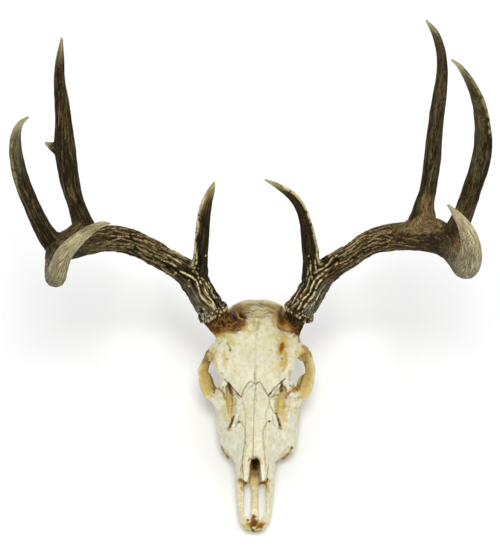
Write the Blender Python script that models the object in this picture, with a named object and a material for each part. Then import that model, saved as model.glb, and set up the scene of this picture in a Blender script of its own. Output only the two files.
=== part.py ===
"""Skull and antlers of a white-tailed buck, cleaned, without the lower jaw, resting on its teeth.

Units in the constants are millimetres. Inside the model a place is (across, back, up): across from
the skull's midline, back from the tip of the muzzle, and up from the table. The last step moves the
whole model so that its origin is the bottom centre of its bounding box, +Z up, muzzle towards -Y.
Left and right are those of a person who faces the muzzle.

The skull is modelled whole, from lofted and swept masses that a voxel remesh fuses, and is then
parted along its sutures with thin walls. The antlers are tubes swept along their beams and tines.
"""

import math

import bmesh
import bpy
from mathutils import Matrix, Vector

MM = 0.001
GAP = 0.35  # between two bones, and between an antler and its pedicle

# ---- the view that the antlers were measured in -------------------------------------------------
VIEW_ELEVATION = math.radians(50.0)  # above the table
VIEW_AZIMUTH = math.radians(0.8)  # towards the viewer's right
VIEW_DISTANCE = 2200.0
VIEW_CENTRE = (250.0, 276.5)  # the picture's middle, in pixels
PIXEL = 0.98  # size of a pixel at the crest between the antlers
CREST_AT = (257.0, 318.0)  # where the picture shows that crest, in pixels

# ---- the skull ----------------------------------------------------------------------------------
CREST = (0.0, 195.0, 105.0)  # highest point, between the antlers
SKULL_TRIANGLES = 3500
FUSE_VOXEL = 1.5
SMALLEST_PIECE = 60.0  # cubic mm; what is smaller is a crumb of a cut

# back, low edge, high edge, half width at the low edge, half width at the high edge
FACE = [
    (7, 8, 10.5, 4, 3.5),
    (11, 7, 14, 11.8, 10.8),
    (20, 8, 20, 16.6, 14.6),
    (33, 9, 26, 19, 16),
    (50, 11, 35, 21, 15.5),
    (70, 12, 47, 22.8, 14),
    (82, 12, 52, 26, 13.5),
    (89, 12, 56, 32, 14),
    (99, 12, 60, 39.5, 15),
    (113, 12, 64, 43.5, 18),
    (128, 12, 70, 45.5, 24),
    (140, 13, 77, 45.5, 30.5),
    (151, 16, 83, 42.5, 35.5),
    (163, 24, 91, 36, 41),
    (174, 34, 97, 31, 41),
    (184, 40, 102, 28, 38),
    (196, 44, 104, 27, 36),
]
BRAINCASE = [
    (170, 50, 96, 22, 38),
    (185, 42, 103, 27, 40),
    (198, 38, 105, 31, 37),
    (212, 35, 100, 34, 33),
    (228, 33, 90, 34.5, 30),
    (242, 32, 76, 32, 26),
    (252, 33, 64, 27, 22),
    (258, 36, 52, 18, 14),
]
NASAL_CAVITY = [
    (18, 18, 60, 4, 6),
    (22, 15, 60, 10, 10.5),
    (34, 15, 60, 11.5, 11),
    (52, 16, 70, 12, 11),
    (67, 17.5, 70, 14, 10),
    (69, 18, 43, 14, 9.5),
    (80, 19, 47, 17, 9.5),
    (92, 20, 51, 20, 10),
    (106, 21, 55, 23, 11),
    (122, 23, 60, 24, 14),
    (134, 28, 62, 20, 12),
]
NASAL_PRONG = [
    (7.0, 80, 46.6, 4.8),
    (8.1, 69, 44.4, 4.5),
    (8.6, 60, 42.2, 4),
    (8.7, 52, 40.4, 3.1),
    (8.6, 46, 39.2, 2.2),
    (8.5, 42, 38.4, 1.3),
]
PRONG_TALLNESS = 0.6
PALATE_SLOT = [(20, 1.8), (23, 3.4), (30, 3.9), (52, 4), (58, 3.4), (61, 1.8)]  # back, half width
PALATE_SLOT_ACROSS = 7.2
PALATE_VAULT = [
    (66, 0, 12.5, 6, 4),
    (86, 0, 15, 15, 10),
    (125, 0, 16.5, 18, 12),
    (160, 0, 17.5, 20, 13),
    (170, 0, 18, 21, 14),
]
PTERYGOID = [
    (160, 18, 34, 2, 2),
    (168, 15, 40, 2, 2),
    (180, 14, 46, 2, 2.5),
    (190, 20, 46, 2, 2.5),
    (200, 29, 44, 1.5, 2.5),
]
PTERYGOID_ACROSS = 12.0

ORBIT = (44.5, 158.0, 64.0)
ORBIT_FACES = (0.8, -0.4, 0.45)  # outwards, a little forwards and up
ORBIT_RING = 20.0
ORBIT_RIM = (2.6, 6.5)  # half its thickness, and half its depth into the socket
RIM_SET_BACK = 0.6  # share of that half depth
ORBIT_CAVITY = 19.0
ORBIT_CAVITY_DEPTH = 8.0  # how far in from the ring its middle lies

# centre and half sizes, on the right side
TEMPLES = [((42, 184, 46), (14, 24, 27)), ((47, 202, 66), (13, 19, 15))]
CHEEK_FLOOR = ((47, 158, 42), (9, 17, 4.5))
CHEEK_FLOOR_TILT = math.radians(-24)
CONDYLE = ((12, 255, 32), (8, 8, 11))
EAR_BULLA = ((20, 220, 28), (7, 10, 9))
JAW_SOCKET = ((36, 213, 46), (12, 7, 5))
THROAT = ((0, 172, 27), (8, 24, 13))

# across, back, up, radius
CHEEK_ARCH = [
    (33, 134, 39, 5.5),
    (40.5, 145, 40.5, 5.6),
    (48, 153, 41, 5.5),
    (52, 162, 41, 5),
    (53.5, 176, 41, 4.6),
    (52, 192, 41, 4.3),
    (46.5, 205, 41, 4.8),
    (39, 214, 43, 6),
    (32, 220, 46, 8),
]
POSTORBITAL_BAR = [(42, 172, 88, 5), (50, 177, 77, 4), (54, 177, 62, 4), (54.5, 172, 46, 5)]
BROW = [
    (35, 168, 86, 5.5),
    (31, 155, 82, 6.5),
    (27.5, 147, 76, 7),
    (28, 142, 68, 7),
    (32, 140, 58, 7),
    (38, 142, 49, 6),
]
PEDICLE = [(27, 180, 85, 16), (35.5, 185.5, 103, 14), (44, 193, 121, 13.6)]
NUCHAL_CREST = [(32, 239, 40, 4.5), (28, 248, 50, 4), (14, 253, 54.5, 3.6), (0, 254, 55.5, 4)]
JAW_PROCESS = [(27, 238, 40, 7), (28, 242, 25, 5.5), (28, 243, 10, 4.2), (28, 243, -1, 3.8)]
SKULL_BASE = [(0, 176, 38, 8), (0, 215, 33, 9), (0, 250, 29, 11)]
SKULL_BASE_TALLNESS = 0.75
SPINAL_HOLE = [(0, 232, 44, 8), (0, 246, 44, 9.5), (0, 275, 42, 11)]
EAR_TUBE = [(28, 226, 42, 5.5), (39, 224, 47, 4.5)]
TEAR_GAP = [(27.5, 141, 67, 2.4), (24.5, 125, 60, 4.6), (20.5, 104, 53, 2.8)]
TEAR_GAP_TALLNESS = 2.4
ARCH_TALLNESS = 1.35

# back edge of each cheek tooth, its width, and the middle of its crown across
TOOTH_ROW_START = 90.0
TEETH = [
    (98, 7.5, 26),
    (109, 9, 27.5),
    (120, 10.5, 29),
    (133, 12.5, 30.5),
    (147, 13, 31.5),
    (161, 12.5, 31),
]
TOOTH_SOCKETS = [
    (25, 93.5, 20, 5),
    (26.5, 99, 19.5, 7),
    (28.5, 112, 19.5, 8.5),
    (31, 135, 20.5, 9),
    (31, 150, 22, 9),
    (29, 162, 25, 8),
]
TOOTH_ROOT_TOP = 17.0
TOOTH_GAP = 0.4
TOOTH_ROUNDING = 2.2

# ---- the antlers --------------------------------------------------------------------------------
# pixel across, pixel down, millimetres towards the viewer from the crest, radius in millimetres
LEFT_BEAM = [
    (214, 314, 12, 15),
    (202, 294, 18, 13.5),
    (188, 274, 24, 13),
    (166, 258, 28, 12),
    (148, 250.5, 34, 12),
    (130, 242, 42, 12.4),
    (112, 238.5, 54, 12.8),
    (92, 240, 75, 13),
    (73, 246, 108, 12),
    (58, 251, 152, 11.5),
    (53, 262, 200, 10),
    (55, 277, 238, 9.4),
    (58.5, 268, 262, 8.4),
    (64, 254.5, 276, 7.4),
    (74, 243, 288, 6.2),
    (88, 231.5, 297, 4.4),
    (101, 224.5, 303, 2.7),
    (110.5, 223.3, 306, 0.9),
]
LEFT_TINES = {
    "brow_tine": [
        (197, 279, 22, 10),
        (200, 258, 33, 6.9),
        (200.8, 238, 43, 6.4),
        (203, 217, 54, 5.9),
        (207.5, 199, 63, 4.2),
        (214, 182.5, 70, 0.9),
    ],
    "second_tine": [
        (90, 238, 76, 12),
        (82, 213, 86, 9.0),
        (73.5, 190, 96, 7.9),
        (67.5, 170, 104, 8.8),
        (64.3, 142, 115, 8.8),
        (63, 120, 124, 7.3),
        (61.5, 103, 131, 6.2),
        (59, 80, 140, 4.9),
        (59.3, 60, 148, 3.5),
        (61.6, 38, 154, 0.9),
    ],
    "third_tine": [
        (56, 249, 150, 10.5),
        (45, 232, 158, 7.8),
        (33.5, 210, 170, 6.4),
        (22.5, 184, 184, 6.1),
        (16, 159, 197, 5.7),
        (15.3, 138, 207, 4.7),
        (20, 124, 213, 3),
        (29, 116.7, 216, 0.9),
    ],
}
LEFT_SPUR = [(63, 152, 112, 6), (53, 147, 114, 4), (44.8, 142.6, 116, 0.9)]
RIGHT_BEAM = [
    (299, 313.5, 12, 15),
    (310.5, 294, 18, 13.5),
    (322, 276, 24, 13),
    (338, 262, 28, 12),
    (352, 254.5, 34, 12.1),
    (370, 243.5, 42, 12.6),
    (388, 238, 54, 13.2),
    (408, 236, 74, 13.4),
    (430, 239, 108, 12.5),
    (448, 245, 150, 12.2),
    (459, 256, 195, 12),
    (466, 266, 235, 11.6),
    (470, 259, 262, 10.4),
    (471, 247.5, 280, 8.9),
    (468.5, 235, 292, 7.2),
    (462, 222, 302, 5),
    (454, 211.5, 309, 2.8),
    (447.5, 204.5, 313, 0.9),
]
RIGHT_TINES = {
    "brow_tine": [
        (312, 280, 22, 10),
        (310.5, 260, 32, 7.2),
        (309, 241, 42, 6.6),
        (306.5, 224.5, 50, 6.1),
        (301, 208, 57, 4.9),
        (291.5, 195.5, 63, 3.5),
        (277, 185.8, 68, 1.9),
        (264.5, 180, 72, 0.8),
    ],
    "second_tine": [
        (415, 234, 76, 12),
        (424, 208, 88, 9.0),
        (428, 188, 97, 7.4),
        (432, 160, 108, 7.4),
        (434, 135, 118, 7.0),
        (437, 110, 128, 6.4),
        (440.5, 88, 136, 5.9),
        (442.3, 70, 142, 4.9),
        (440.5, 50, 149, 4.1),
        (434.5, 34, 154, 2.9),
        (425.7, 20.8, 158, 0.8),
    ],
    "third_tine": [
        (450, 243, 150, 11.5),
        (463, 215, 160, 9.0),
        (472.3, 190, 170, 7.9),
        (479.3, 168, 180, 7.8),
        (482.8, 148, 188, 7.5),
        (482.6, 126, 197, 6.7),
        (479, 104, 205, 5.5),
        (471, 84, 212, 4.1),
        (460, 67, 218, 2.5),
        (451, 59.5, 220, 0.8),
    ],
}
# where the beam is parted, as shares of its length, and what its lengths are called
BEAM_SPLITS = (0.54, 0.8)
BEAM_WORDS = ("beam", "outer_beam", "beam_tip")
BEAM_CUT_RADIUS = 20.0
BEAM_SIDES, TINE_SIDES = 11, 9
BEAM_STEP, TINE_STEP = 13.0, 14.0
# height over the burr's foot and radius, along the beam's own line
BURR = [(0.0, 14.2), (2.5, 15.9), (6.0, 15.7), (9.5, 13.7)]
BURR_ROOM = (24.0, 24.0)  # radius and height of the space kept free of the pedicle
SPUR_STEP = 6.0

BONE = (0.80, 0.74, 0.58)
BARK = (0.20, 0.14, 0.085)
POLISHED = (0.55, 0.49, 0.36)


# ---- shapes -------------------------------------------------------------------------------------
def new_object(name, mesh_or_bmesh):
    """An object of that mesh, linked to the scene."""
    mesh = mesh_or_bmesh
    if isinstance(mesh_or_bmesh, bmesh.types.BMesh):
        mesh = bpy.data.meshes.new(name)
        bmesh.ops.recalc_face_normals(mesh_or_bmesh, faces=mesh_or_bmesh.faces)
        mesh_or_bmesh.to_mesh(mesh)
        mesh_or_bmesh.free()
    thing = bpy.data.objects.new(name, mesh)
    bpy.context.scene.collection.objects.link(thing)
    return thing


def apply_modifiers(thing):
    """Puts what the modifiers make into the object's own mesh."""
    graph = bpy.context.evaluated_depsgraph_get()
    mesh = bpy.data.meshes.new_from_object(thing.evaluated_get(graph))
    thing.modifiers.clear()
    thing.data = mesh
    return thing


def sections_mesh(name, rings):
    """A closed tube through rings of equally many points."""
    shape = bmesh.new()
    rows = [[shape.verts.new(Vector(point) * MM) for point in ring] for ring in rings]
    count = len(rows[0])
    for first, second in zip(rows, rows[1:]):
        for i in range(count):
            j = (i + 1) % count
            shape.faces.new((first[i], first[j], second[j], second[i]))
    for end in (rows[0], rows[-1]):
        shape.faces.new(end)
    return new_object(name, shape)


def signed_power(value, power):
    """The power of a number's size, with the number's sign."""
    return math.copysign(abs(value) ** power, value)


def loft(name, stations, middle=0.0, sides=40, squareness=2.6):
    """A mass along the skull: at each station a rounded trapezoid with its own edges and widths."""
    power = 2.0 / squareness
    rings = []
    for back, low, high, low_width, high_width in stations:
        ring = []
        for i in range(sides):
            angle = math.tau * i / sides
            height = (signed_power(math.sin(angle), power) + 1) / 2
            width = low_width + (high_width - low_width) * height
            across = middle + width * signed_power(math.cos(angle), power)
            ring.append((across, back, low + (high - low) * height))
        rings.append(ring)
    return sections_mesh(name, rings)


def smooth_route(stations, step):
    """Points and radii about `step` apart on a smooth curve through the stations."""
    knots = [0.0]
    for a, b in zip(stations, stations[1:]):
        knots.append(knots[-1] + (Vector(b[:3]) - Vector(a[:3])).length)
    values = [Vector((*s[:3], s[3])) for s in stations]
    slopes = []
    for i in range(len(values)):
        before, after = max(i - 1, 0), min(i + 1, len(values) - 1)
        slopes.append((values[after] - values[before]) / (knots[after] - knots[before]))
    route = []
    for i in range(len(values) - 1):
        length = knots[i + 1] - knots[i]
        pieces = max(1, round(length / step))
        for k in range(pieces):
            t = k / pieces
            route.append(
                values[i] * (2 * t**3 - 3 * t**2 + 1)
                + slopes[i] * length * (t**3 - 2 * t**2 + t)
                + values[i + 1] * (3 * t**2 - 2 * t**3)
                + slopes[i + 1] * length * (t**3 - t**2)
            )
    route.append(values[-1])
    return route


def sweep(name, route, sides, tallness=1.0, up=(0, 0, 1)):
    """A tube of round or oval sections along a route of (across, back, up, radius)."""
    points = [Vector(p[:3]) for p in route]
    ends = [points[0]] + points + [points[-1]]
    along = [(b - a).normalized() for a, b in zip(ends, ends[2:])]
    side = along[0].cross(Vector(up)).normalized()
    rings = []
    for point, direction, station in zip(points, along, route):
        side = (side - direction * side.dot(direction)).normalized()
        top = side.cross(direction)
        radius = station[3]
        rings.append(
            [
                point
                + side * radius * math.cos(math.tau * i / sides)
                + top * radius * tallness * math.sin(math.tau * i / sides)
                for i in range(sides)
            ]
        )
    return sections_mesh(name, rings)


def mirror_spot(spot, side):
    """A place on the left (side -1) or the right (side 1)."""
    return (side * spot[0], spot[1], spot[2])


def on_side(lump, side):
    """A lump's centre on the left or the right, and its half sizes."""
    centre, radii = lump
    return mirror_spot(centre, side), radii


def ellipsoid(name, centre, radii, turn=None):
    """An egg-shaped mass, turned if need be."""
    shape = bmesh.new()
    place = Matrix.Translation(Vector(centre) * MM) @ (turn or Matrix.Identity(4))
    place = place @ Matrix.Diagonal((*(Vector(radii) * MM), 1.0))
    bmesh.ops.create_icosphere(shape, subdivisions=3, radius=1.0, matrix=place)
    return new_object(name, shape)


def block(name, low, high, rounding=0.0):
    """A box between two corners, its edges rounded."""
    shape = bmesh.new()
    middle = (Vector(low) + Vector(high)) / 2
    size = Vector(high) - Vector(low)
    place = Matrix.Translation(middle * MM) @ Matrix.Diagonal((*(size * MM), 1.0))
    bmesh.ops.create_cube(shape, size=1.0, matrix=place)
    if rounding:
        bmesh.ops.bevel(
            shape, geom=shape.edges[:], offset=rounding * MM, segments=2, affect="EDGES"
        )
    return new_object(name, shape)


def ring(name, centre, axis, radius, thickness, depth, around=36, sides=10):
    """A torus about an axis, its section oval, set back along the axis."""
    turn = Vector(axis).to_track_quat("Z", "Y").to_matrix()
    rings = []
    for i in range(around):
        angle = math.tau * i / around
        out = Vector((math.cos(angle), math.sin(angle), 0))
        section = []
        for k in range(sides):
            tilt = math.tau * k / sides
            spot = out * (radius + thickness * math.cos(tilt))
            spot.z = depth * (math.sin(tilt) - RIM_SET_BACK)
            section.append(Vector(centre) + turn @ spot)
        rings.append(section)
    shape = bmesh.new()
    rows = [[shape.verts.new(point * MM) for point in section] for section in rings]
    for i in range(around):
        first, second = rows[i], rows[(i + 1) % around]
        for k in range(sides):
            j = (k + 1) % sides
            shape.faces.new((first[k], first[j], second[j], second[k]))
    return new_object(name, shape)


def mirrored(stations, side):
    """The stations on the left (side -1) or the right (side 1)."""
    return [(side * s[0], *s[1:]) for s in stations]


def fuse(name, things, voxel=FUSE_VOXEL, softening=3):
    """One closed body from overlapping masses, its joints softened."""
    whole = bmesh.new()
    for thing in things:
        whole.from_mesh(thing.data)
        bpy.data.objects.remove(thing)
    mesh = bpy.data.meshes.new(name)
    whole.to_mesh(mesh)
    whole.free()
    body = new_object(name, mesh)
    remesh = body.modifiers.new("fuse", "REMESH")
    remesh.mode = "VOXEL"
    remesh.voxel_size = voxel * MM
    smooth = body.modifiers.new("soften", "SMOOTH")
    smooth.factor = 0.5
    smooth.iterations = softening
    return apply_modifiers(body)


def combine(body, other, operation):
    """Adds or cuts away another closed mesh, which is then removed."""
    boolean = body.modifiers.new(other.name, "BOOLEAN")
    boolean.operation = operation
    boolean.object = other
    boolean.solver = "EXACT"
    apply_modifiers(body)
    bpy.data.objects.remove(other)
    return body


def cut(body, cutters):
    """Cuts closed meshes away from a body, which is returned."""
    for cutter in cutters:
        combine(body, cutter, "DIFFERENCE")
    return body


def wall(name, line, direction, reach, thickness=GAP):
    """A thin wall through a line of points, reaching both ways along a direction."""
    shape = bmesh.new()
    step = Vector(direction).normalized() * reach
    rows = [
        [shape.verts.new((Vector(p) + step * way) * MM) for p in line] for way in (-1, 1)
    ]
    for i in range(len(line) - 1):
        shape.faces.new((rows[0][i], rows[0][i + 1], rows[1][i + 1], rows[1][i]))
    sheet = new_object(name, shape)
    thicken = sheet.modifiers.new("thickness", "SOLIDIFY")
    thicken.thickness = thickness * MM
    thicken.offset = 0.0
    thicken.use_even_offset = True
    return apply_modifiers(sheet)


def volume_of(mesh):
    """A closed mesh's volume, in cubic millimetres."""
    shape = bmesh.new()
    shape.from_mesh(mesh)
    volume = shape.calc_volume()
    shape.free()
    return abs(volume) / MM**3


def loose_parts(body, smallest=SMALLEST_PIECE):
    """The separate bodies inside one object, each as an object, without crumbs."""
    shape = bmesh.new()
    shape.from_mesh(body.data)
    unseen = set(shape.verts)
    groups = []
    while unseen:
        heap, group = [unseen.pop()], []
        while heap:
            vert = heap.pop()
            group.append(vert)
            for edge in vert.link_edges:
                other = edge.other_vert(vert)
                if other in unseen:
                    unseen.remove(other)
                    heap.append(other)
        groups.append({v.index for v in group})
    shape.free()
    found = []
    for n, group in enumerate(groups):
        piece = bmesh.new()
        piece.from_mesh(body.data)
        piece.verts.ensure_lookup_table()
        outside = [v for v in piece.verts if v.index not in group]
        bmesh.ops.delete(piece, geom=outside, context="VERTS")
        mesh = bpy.data.meshes.new(body.name)
        piece.to_mesh(mesh)
        piece.free()
        if volume_of(mesh) >= smallest:
            found.append(new_object(f"{body.name}.{n}", mesh))
    bpy.data.objects.remove(body)
    return found


def middle_of(thing):
    """The middle of an object's bounding box, in millimetres."""
    corners = [Vector(c) for c in thing.bound_box]
    return sum(corners, Vector()) / 8 / MM


def split(body, walls):
    """Parts a body with thin walls and returns its pieces, largest first."""
    pieces = loose_parts(cut(body, walls))
    return sorted(pieces, key=lambda piece: -volume_of(piece.data))


def take(pieces, landmark):
    """Removes from the list, and returns, the piece whose middle is nearest a landmark."""
    spot = Vector(landmark)
    nearest = min(pieces, key=lambda piece: (middle_of(piece) - spot).length)
    pieces.remove(nearest)
    return nearest


# ---- the skull's masses and openings ------------------------------------------------------------
def orbit_spot(side, inwards=0.0):
    """The middle of the orbit's ring, or a place straight in from it."""
    outwards = Vector(ORBIT_FACES).normalized()
    return mirror_spot(Vector(ORBIT) - outwards * inwards, side)


def tooth_blocks(side):
    """The row's crowns, as rounded blocks that stand a little under the table's level."""
    made = []
    front = TOOTH_ROW_START
    for back, width, across in TEETH:
        low = (side * across - width / 2, front + TOOTH_GAP, -1.5)
        high = (side * across + width / 2, back - TOOTH_GAP, TOOTH_ROOT_TOP)
        made.append(block("tooth", low, high, rounding=TOOTH_ROUNDING))
        front = back
    return made


def rough_skull():
    """Face, braincase and pedicles, with the orbits and the spaces behind them taken out."""
    masses = [loft("face", FACE), loft("braincase", BRAINCASE)]
    for side in (-1, 1):
        masses.append(sweep("pedicle", smooth_route(mirrored(PEDICLE, side), 6), 24))
        masses.append(sweep("brow", smooth_route(mirrored(BROW, side), 5), 14))
    body = fuse("skull", masses)
    for side in (-1, 1):
        cut(body, [ellipsoid("orbit", orbit_spot(side, ORBIT_CAVITY_DEPTH), (ORBIT_CAVITY,) * 3)])
        cut(body, [ellipsoid("temple", *on_side(temple, side)) for temple in TEMPLES])
    return body


def orbit_and_cheek(side):
    """The ring of the orbit, the bar behind it, and the cheek bone with its arch."""
    turn = Matrix.Rotation(CHEEK_FLOOR_TILT * side, 4, "Y")
    faces = (side * ORBIT_FACES[0], *ORBIT_FACES[1:])
    return [
        ring("orbit_ring", orbit_spot(side), faces, ORBIT_RING, *ORBIT_RIM),
        ellipsoid("cheek_floor", *on_side(CHEEK_FLOOR, side), turn),
        sweep("arch", smooth_route(mirrored(CHEEK_ARCH, side), 6), 14, ARCH_TALLNESS),
        sweep("bar", smooth_route(mirrored(POSTORBITAL_BAR, side), 5), 12),
    ]


def back_and_base(side):
    """What stands on the back and the underside of the braincase."""
    return [
        sweep("nuchal", smooth_route(mirrored(NUCHAL_CREST, side), 5), 12),
        ellipsoid("condyle", *on_side(CONDYLE, side)),
        sweep("jaw_process", smooth_route(mirrored(JAW_PROCESS, side), 5), 14),
        ellipsoid("bulla", *on_side(EAR_BULLA, side)),
        sweep("ear_tube", smooth_route(mirrored(EAR_TUBE, side), 5), 12),
        ellipsoid("jaw_socket", *on_side(JAW_SOCKET, side)),
        loft("pterygoid", PTERYGOID, middle=side * PTERYGOID_ACROSS, sides=16),
    ]


def skull_openings():
    """Nose, palate, tear-duct gaps, the way to the throat and the hole for the spinal cord."""
    openings = [
        loft("nasal_cavity", NASAL_CAVITY),
        loft("palate_vault", PALATE_VAULT),
        ellipsoid("throat", *THROAT),
        sweep("spinal_hole", SPINAL_HOLE, 24, up=(1, 0, 0)),
    ]
    for side in (-1, 1):
        slot = [(back, -5, 30, width, width) for back, width in PALATE_SLOT]
        openings.append(loft("slot", slot, middle=side * PALATE_SLOT_ACROSS, sides=16))
        gap = smooth_route(mirrored(TEAR_GAP, side), 5)
        openings.append(sweep("tear_gap", gap, 16, TEAR_GAP_TALLNESS))
    return openings


def below_table():
    """All that is lower than the table that the teeth rest on."""
    return block("below_table", (-70, -10, -12), (70, 280, 0))


def whole_skull():
    """The skull in one body, thinned out, with its teeth ground flat at the table's level."""
    masses = [rough_skull(), sweep("base", SKULL_BASE, 16, SKULL_BASE_TALLNESS)]
    for side in (-1, 1):
        masses += orbit_and_cheek(side) + back_and_base(side) + tooth_blocks(side)
        masses.append(sweep("sockets", smooth_route(mirrored(TOOTH_SOCKETS, side), 6), 14))
    body = cut(fuse("skull", masses, softening=2), skull_openings())
    prongs = [
        sweep("prong", smooth_route(mirrored(NASAL_PRONG, side), 4), 12, PRONG_TALLNESS) for side in (-1, 1)
    ]
    body = fuse("skull", [body, *prongs], softening=2)
    thin = body.modifiers.new("thin_out", "DECIMATE")
    triangles = sum(len(f.vertices) - 2 for f in body.data.polygons)
    thin.ratio = SKULL_TRIANGLES / triangles
    apply_modifiers(body)
    return cut(body, [below_table()])


# ---- the antlers --------------------------------------------------------------------------------
def sighted(station):
    """Where a station is: the view's pixel, at its distance in front of the crest's plane."""
    across_px, down_px, towards, radius = station
    cos_e, sin_e = math.cos(VIEW_ELEVATION), math.sin(VIEW_ELEVATION)
    cos_a, sin_a = math.cos(VIEW_AZIMUTH), math.sin(VIEW_AZIMUTH)
    to_viewer = Vector((sin_a * cos_e, -cos_a * cos_e, sin_e))
    right = Vector((cos_a, sin_a, 0))
    upwards = Vector((-sin_a * sin_e, cos_a * sin_e, cos_e))
    axis_spot = (
        Vector(CREST)
        + right * (VIEW_CENTRE[0] - CREST_AT[0]) * PIXEL
        + upwards * (CREST_AT[1] - VIEW_CENTRE[1]) * PIXEL
    )
    nearer = (VIEW_DISTANCE - towards) / VIEW_DISTANCE
    spot = (
        axis_spot
        + right * (across_px - VIEW_CENTRE[0]) * PIXEL * nearer
        + upwards * (VIEW_CENTRE[1] - down_px) * PIXEL * nearer
        + to_viewer * towards
    )
    return (*spot, radius)


def beam_route(beam):
    """The beam's points, with the burr's profile worked into its foot."""
    route = smooth_route([sighted(s) for s in beam], BEAM_STEP)
    foot = Vector(route[0][:3])
    direction = (Vector(route[1][:3]) - foot).normalized()
    burr = [(*(foot + direction * rise), radius) for rise, radius in BURR]
    return burr + route[1:]


def beam_cuts(route):
    """Thin discs across the beam, where it is parted."""
    discs = []
    for share in BEAM_SPLITS:
        place = round(share * (len(route) - 1))
        near, far = Vector(route[place][:3]), Vector(route[place + 1][:3])
        middle, direction = (near + far) / 2, (far - near).normalized()
        ends = [(*(middle + direction * GAP * way / 2), BEAM_CUT_RADIUS) for way in (-1, 1)]
        discs.append(sweep("disc", ends, 24))
    return discs


def grown(route, by):
    """The same route, thicker by a little."""
    return [(*Vector(p[:3]), p[3] + by) for p in route]


def antler(side_name, beam, tines, spur):
    """The beam's lengths and one piece for each tine, each cut by what it grows from."""
    route = beam_route(beam)
    whole = sweep("beam", route, BEAM_SIDES)
    lengths = split(whole, beam_cuts(route))
    lengths.sort(key=lambda length: -middle_of(length).y)
    for word, length in zip(BEAM_WORDS, lengths):
        length.name = f"antler_{side_name}_{word}"
    for name, stations in tines.items():
        path = smooth_route([sighted(s) for s in stations], TINE_STEP)
        tine = sweep(f"antler_{side_name}_{name}", path, TINE_SIDES)
        if spur and name == "second_tine":
            point = smooth_route([sighted(s) for s in spur], SPUR_STEP)
            combine(tine, sweep("spur", point, TINE_SIDES), "UNION")
        cut(tine, [sweep("beam_room", grown(route, GAP), BEAM_SIDES)])
        finish_piece(tine)


def finish_piece(thing):
    """Keeps the largest body of a cut piece under the piece's own name."""
    name = thing.name
    parts = loose_parts(thing, smallest=0.0)
    parts.sort(key=lambda part: -volume_of(part.data))
    for crumb in parts[1:]:
        bpy.data.objects.remove(crumb)
    parts[0].name = name
    return parts[0]


def pedicle_rooms():
    """The space above each pedicle that the foot of the antler takes."""
    radius, height = BURR_ROOM
    rooms = []
    for beam in (LEFT_BEAM, RIGHT_BEAM):
        route = beam_route(beam)
        foot = Vector(route[0][:3])
        direction = (Vector(route[1][:3]) - foot).normalized()
        ends = [foot - direction * GAP, foot + direction * height]
        rooms.append(sweep("burr_room", [(*end, radius) for end in ends], 24))
    return rooms


# ---- parting the skull --------------------------------------------------------------------------
# (across, back, up) on the right side
NASION_BACK = 138.5
NASAL_OUTLINE = [(14, 127), (13, 122), (10, 110), (9.3, 82), (10.6, 66), (12, 46)]
NASAL_BED = (38.0, 66.0, 0.31)  # height at a place back, and rise for each millimetre back
# (back, up) along the sutures that cross the whole skull
FACE_BACK = [(129, 130), (129, 72), (126, 54), (133, 42), (150, 32), (168, 27), (172, -20)]
MUZZLE_SUTURE = [(68, -20), (73, 22), (71, 40), (62, 66)]
FOREHEAD_UNDERSIDE = [(100, 62), (150, 68), (178, 76), (200, 80), (209, 92), (216, 130)]
# (back, up) round the cheek bone, and the stretch across that it lies in
CHEEK_OUTLINE = [(110, 70), (150, 71), (160, 84), (189, 84), (191, 66), (204, 66), (203, 26), (110, 26)]
CHEEK_ACROSS = (38.0, 90.0)
ABOVE_ALL = 140.0
# about the middle of each bone, on the right side where there are two
NASALS_AT = (0, 96, 56)
UPPER_JAW_AT = (24, 115, 35)
MUZZLE_AT = (12, 33, 20)
CHEEK_AT = (50, 165, 45)


def shell(name, first, second, thickness=GAP):
    """A thin closed wall around the prism between two outlines."""
    prism = sections_mesh(name, [first, second])
    thicken = prism.modifiers.new("thickness", "SOLIDIFY")
    thicken.thickness = thickness * MM
    thicken.offset = 0.0
    thicken.use_even_offset = True
    return apply_modifiers(prism)


def nasal_shell():
    """The wall round both nasal bones, from the tip of their prongs to the forehead."""
    level, start, rise = NASAL_BED
    plan = [(0, NASION_BACK)] + NASAL_OUTLINE + [(-x, y) for x, y in reversed(NASAL_OUTLINE)]
    low = [(x, y, level + rise * (y - start)) for x, y in plan]
    return shell("nasal_edge", low, [(x, y, ABOVE_ALL) for x, y, z in low])


def cheek_shell(side):
    """The wall round one cheek bone."""
    near, far = CHEEK_ACROSS
    outlines = [[(side * x, y, z) for y, z in CHEEK_OUTLINE] for x in (near, far)]
    return shell("cheek_edge", *outlines)


def suture(name, profile):
    """A wall across the skull along a profile of (back, up)."""
    return wall(name, [(0, back, up) for back, up in profile], (1, 0, 0), 100)


def halves(body):
    """The left and the right of a body, parted on the midline."""
    midline = wall("midline", [(0, -40, 0), (0, 300, 0)], (0, 0, 1), 200)
    pieces = split(body, [midline])
    left, right = sorted(pieces[:2], key=lambda piece: middle_of(piece).x)
    return (("left", -1, left), ("right", 1, right))


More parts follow.
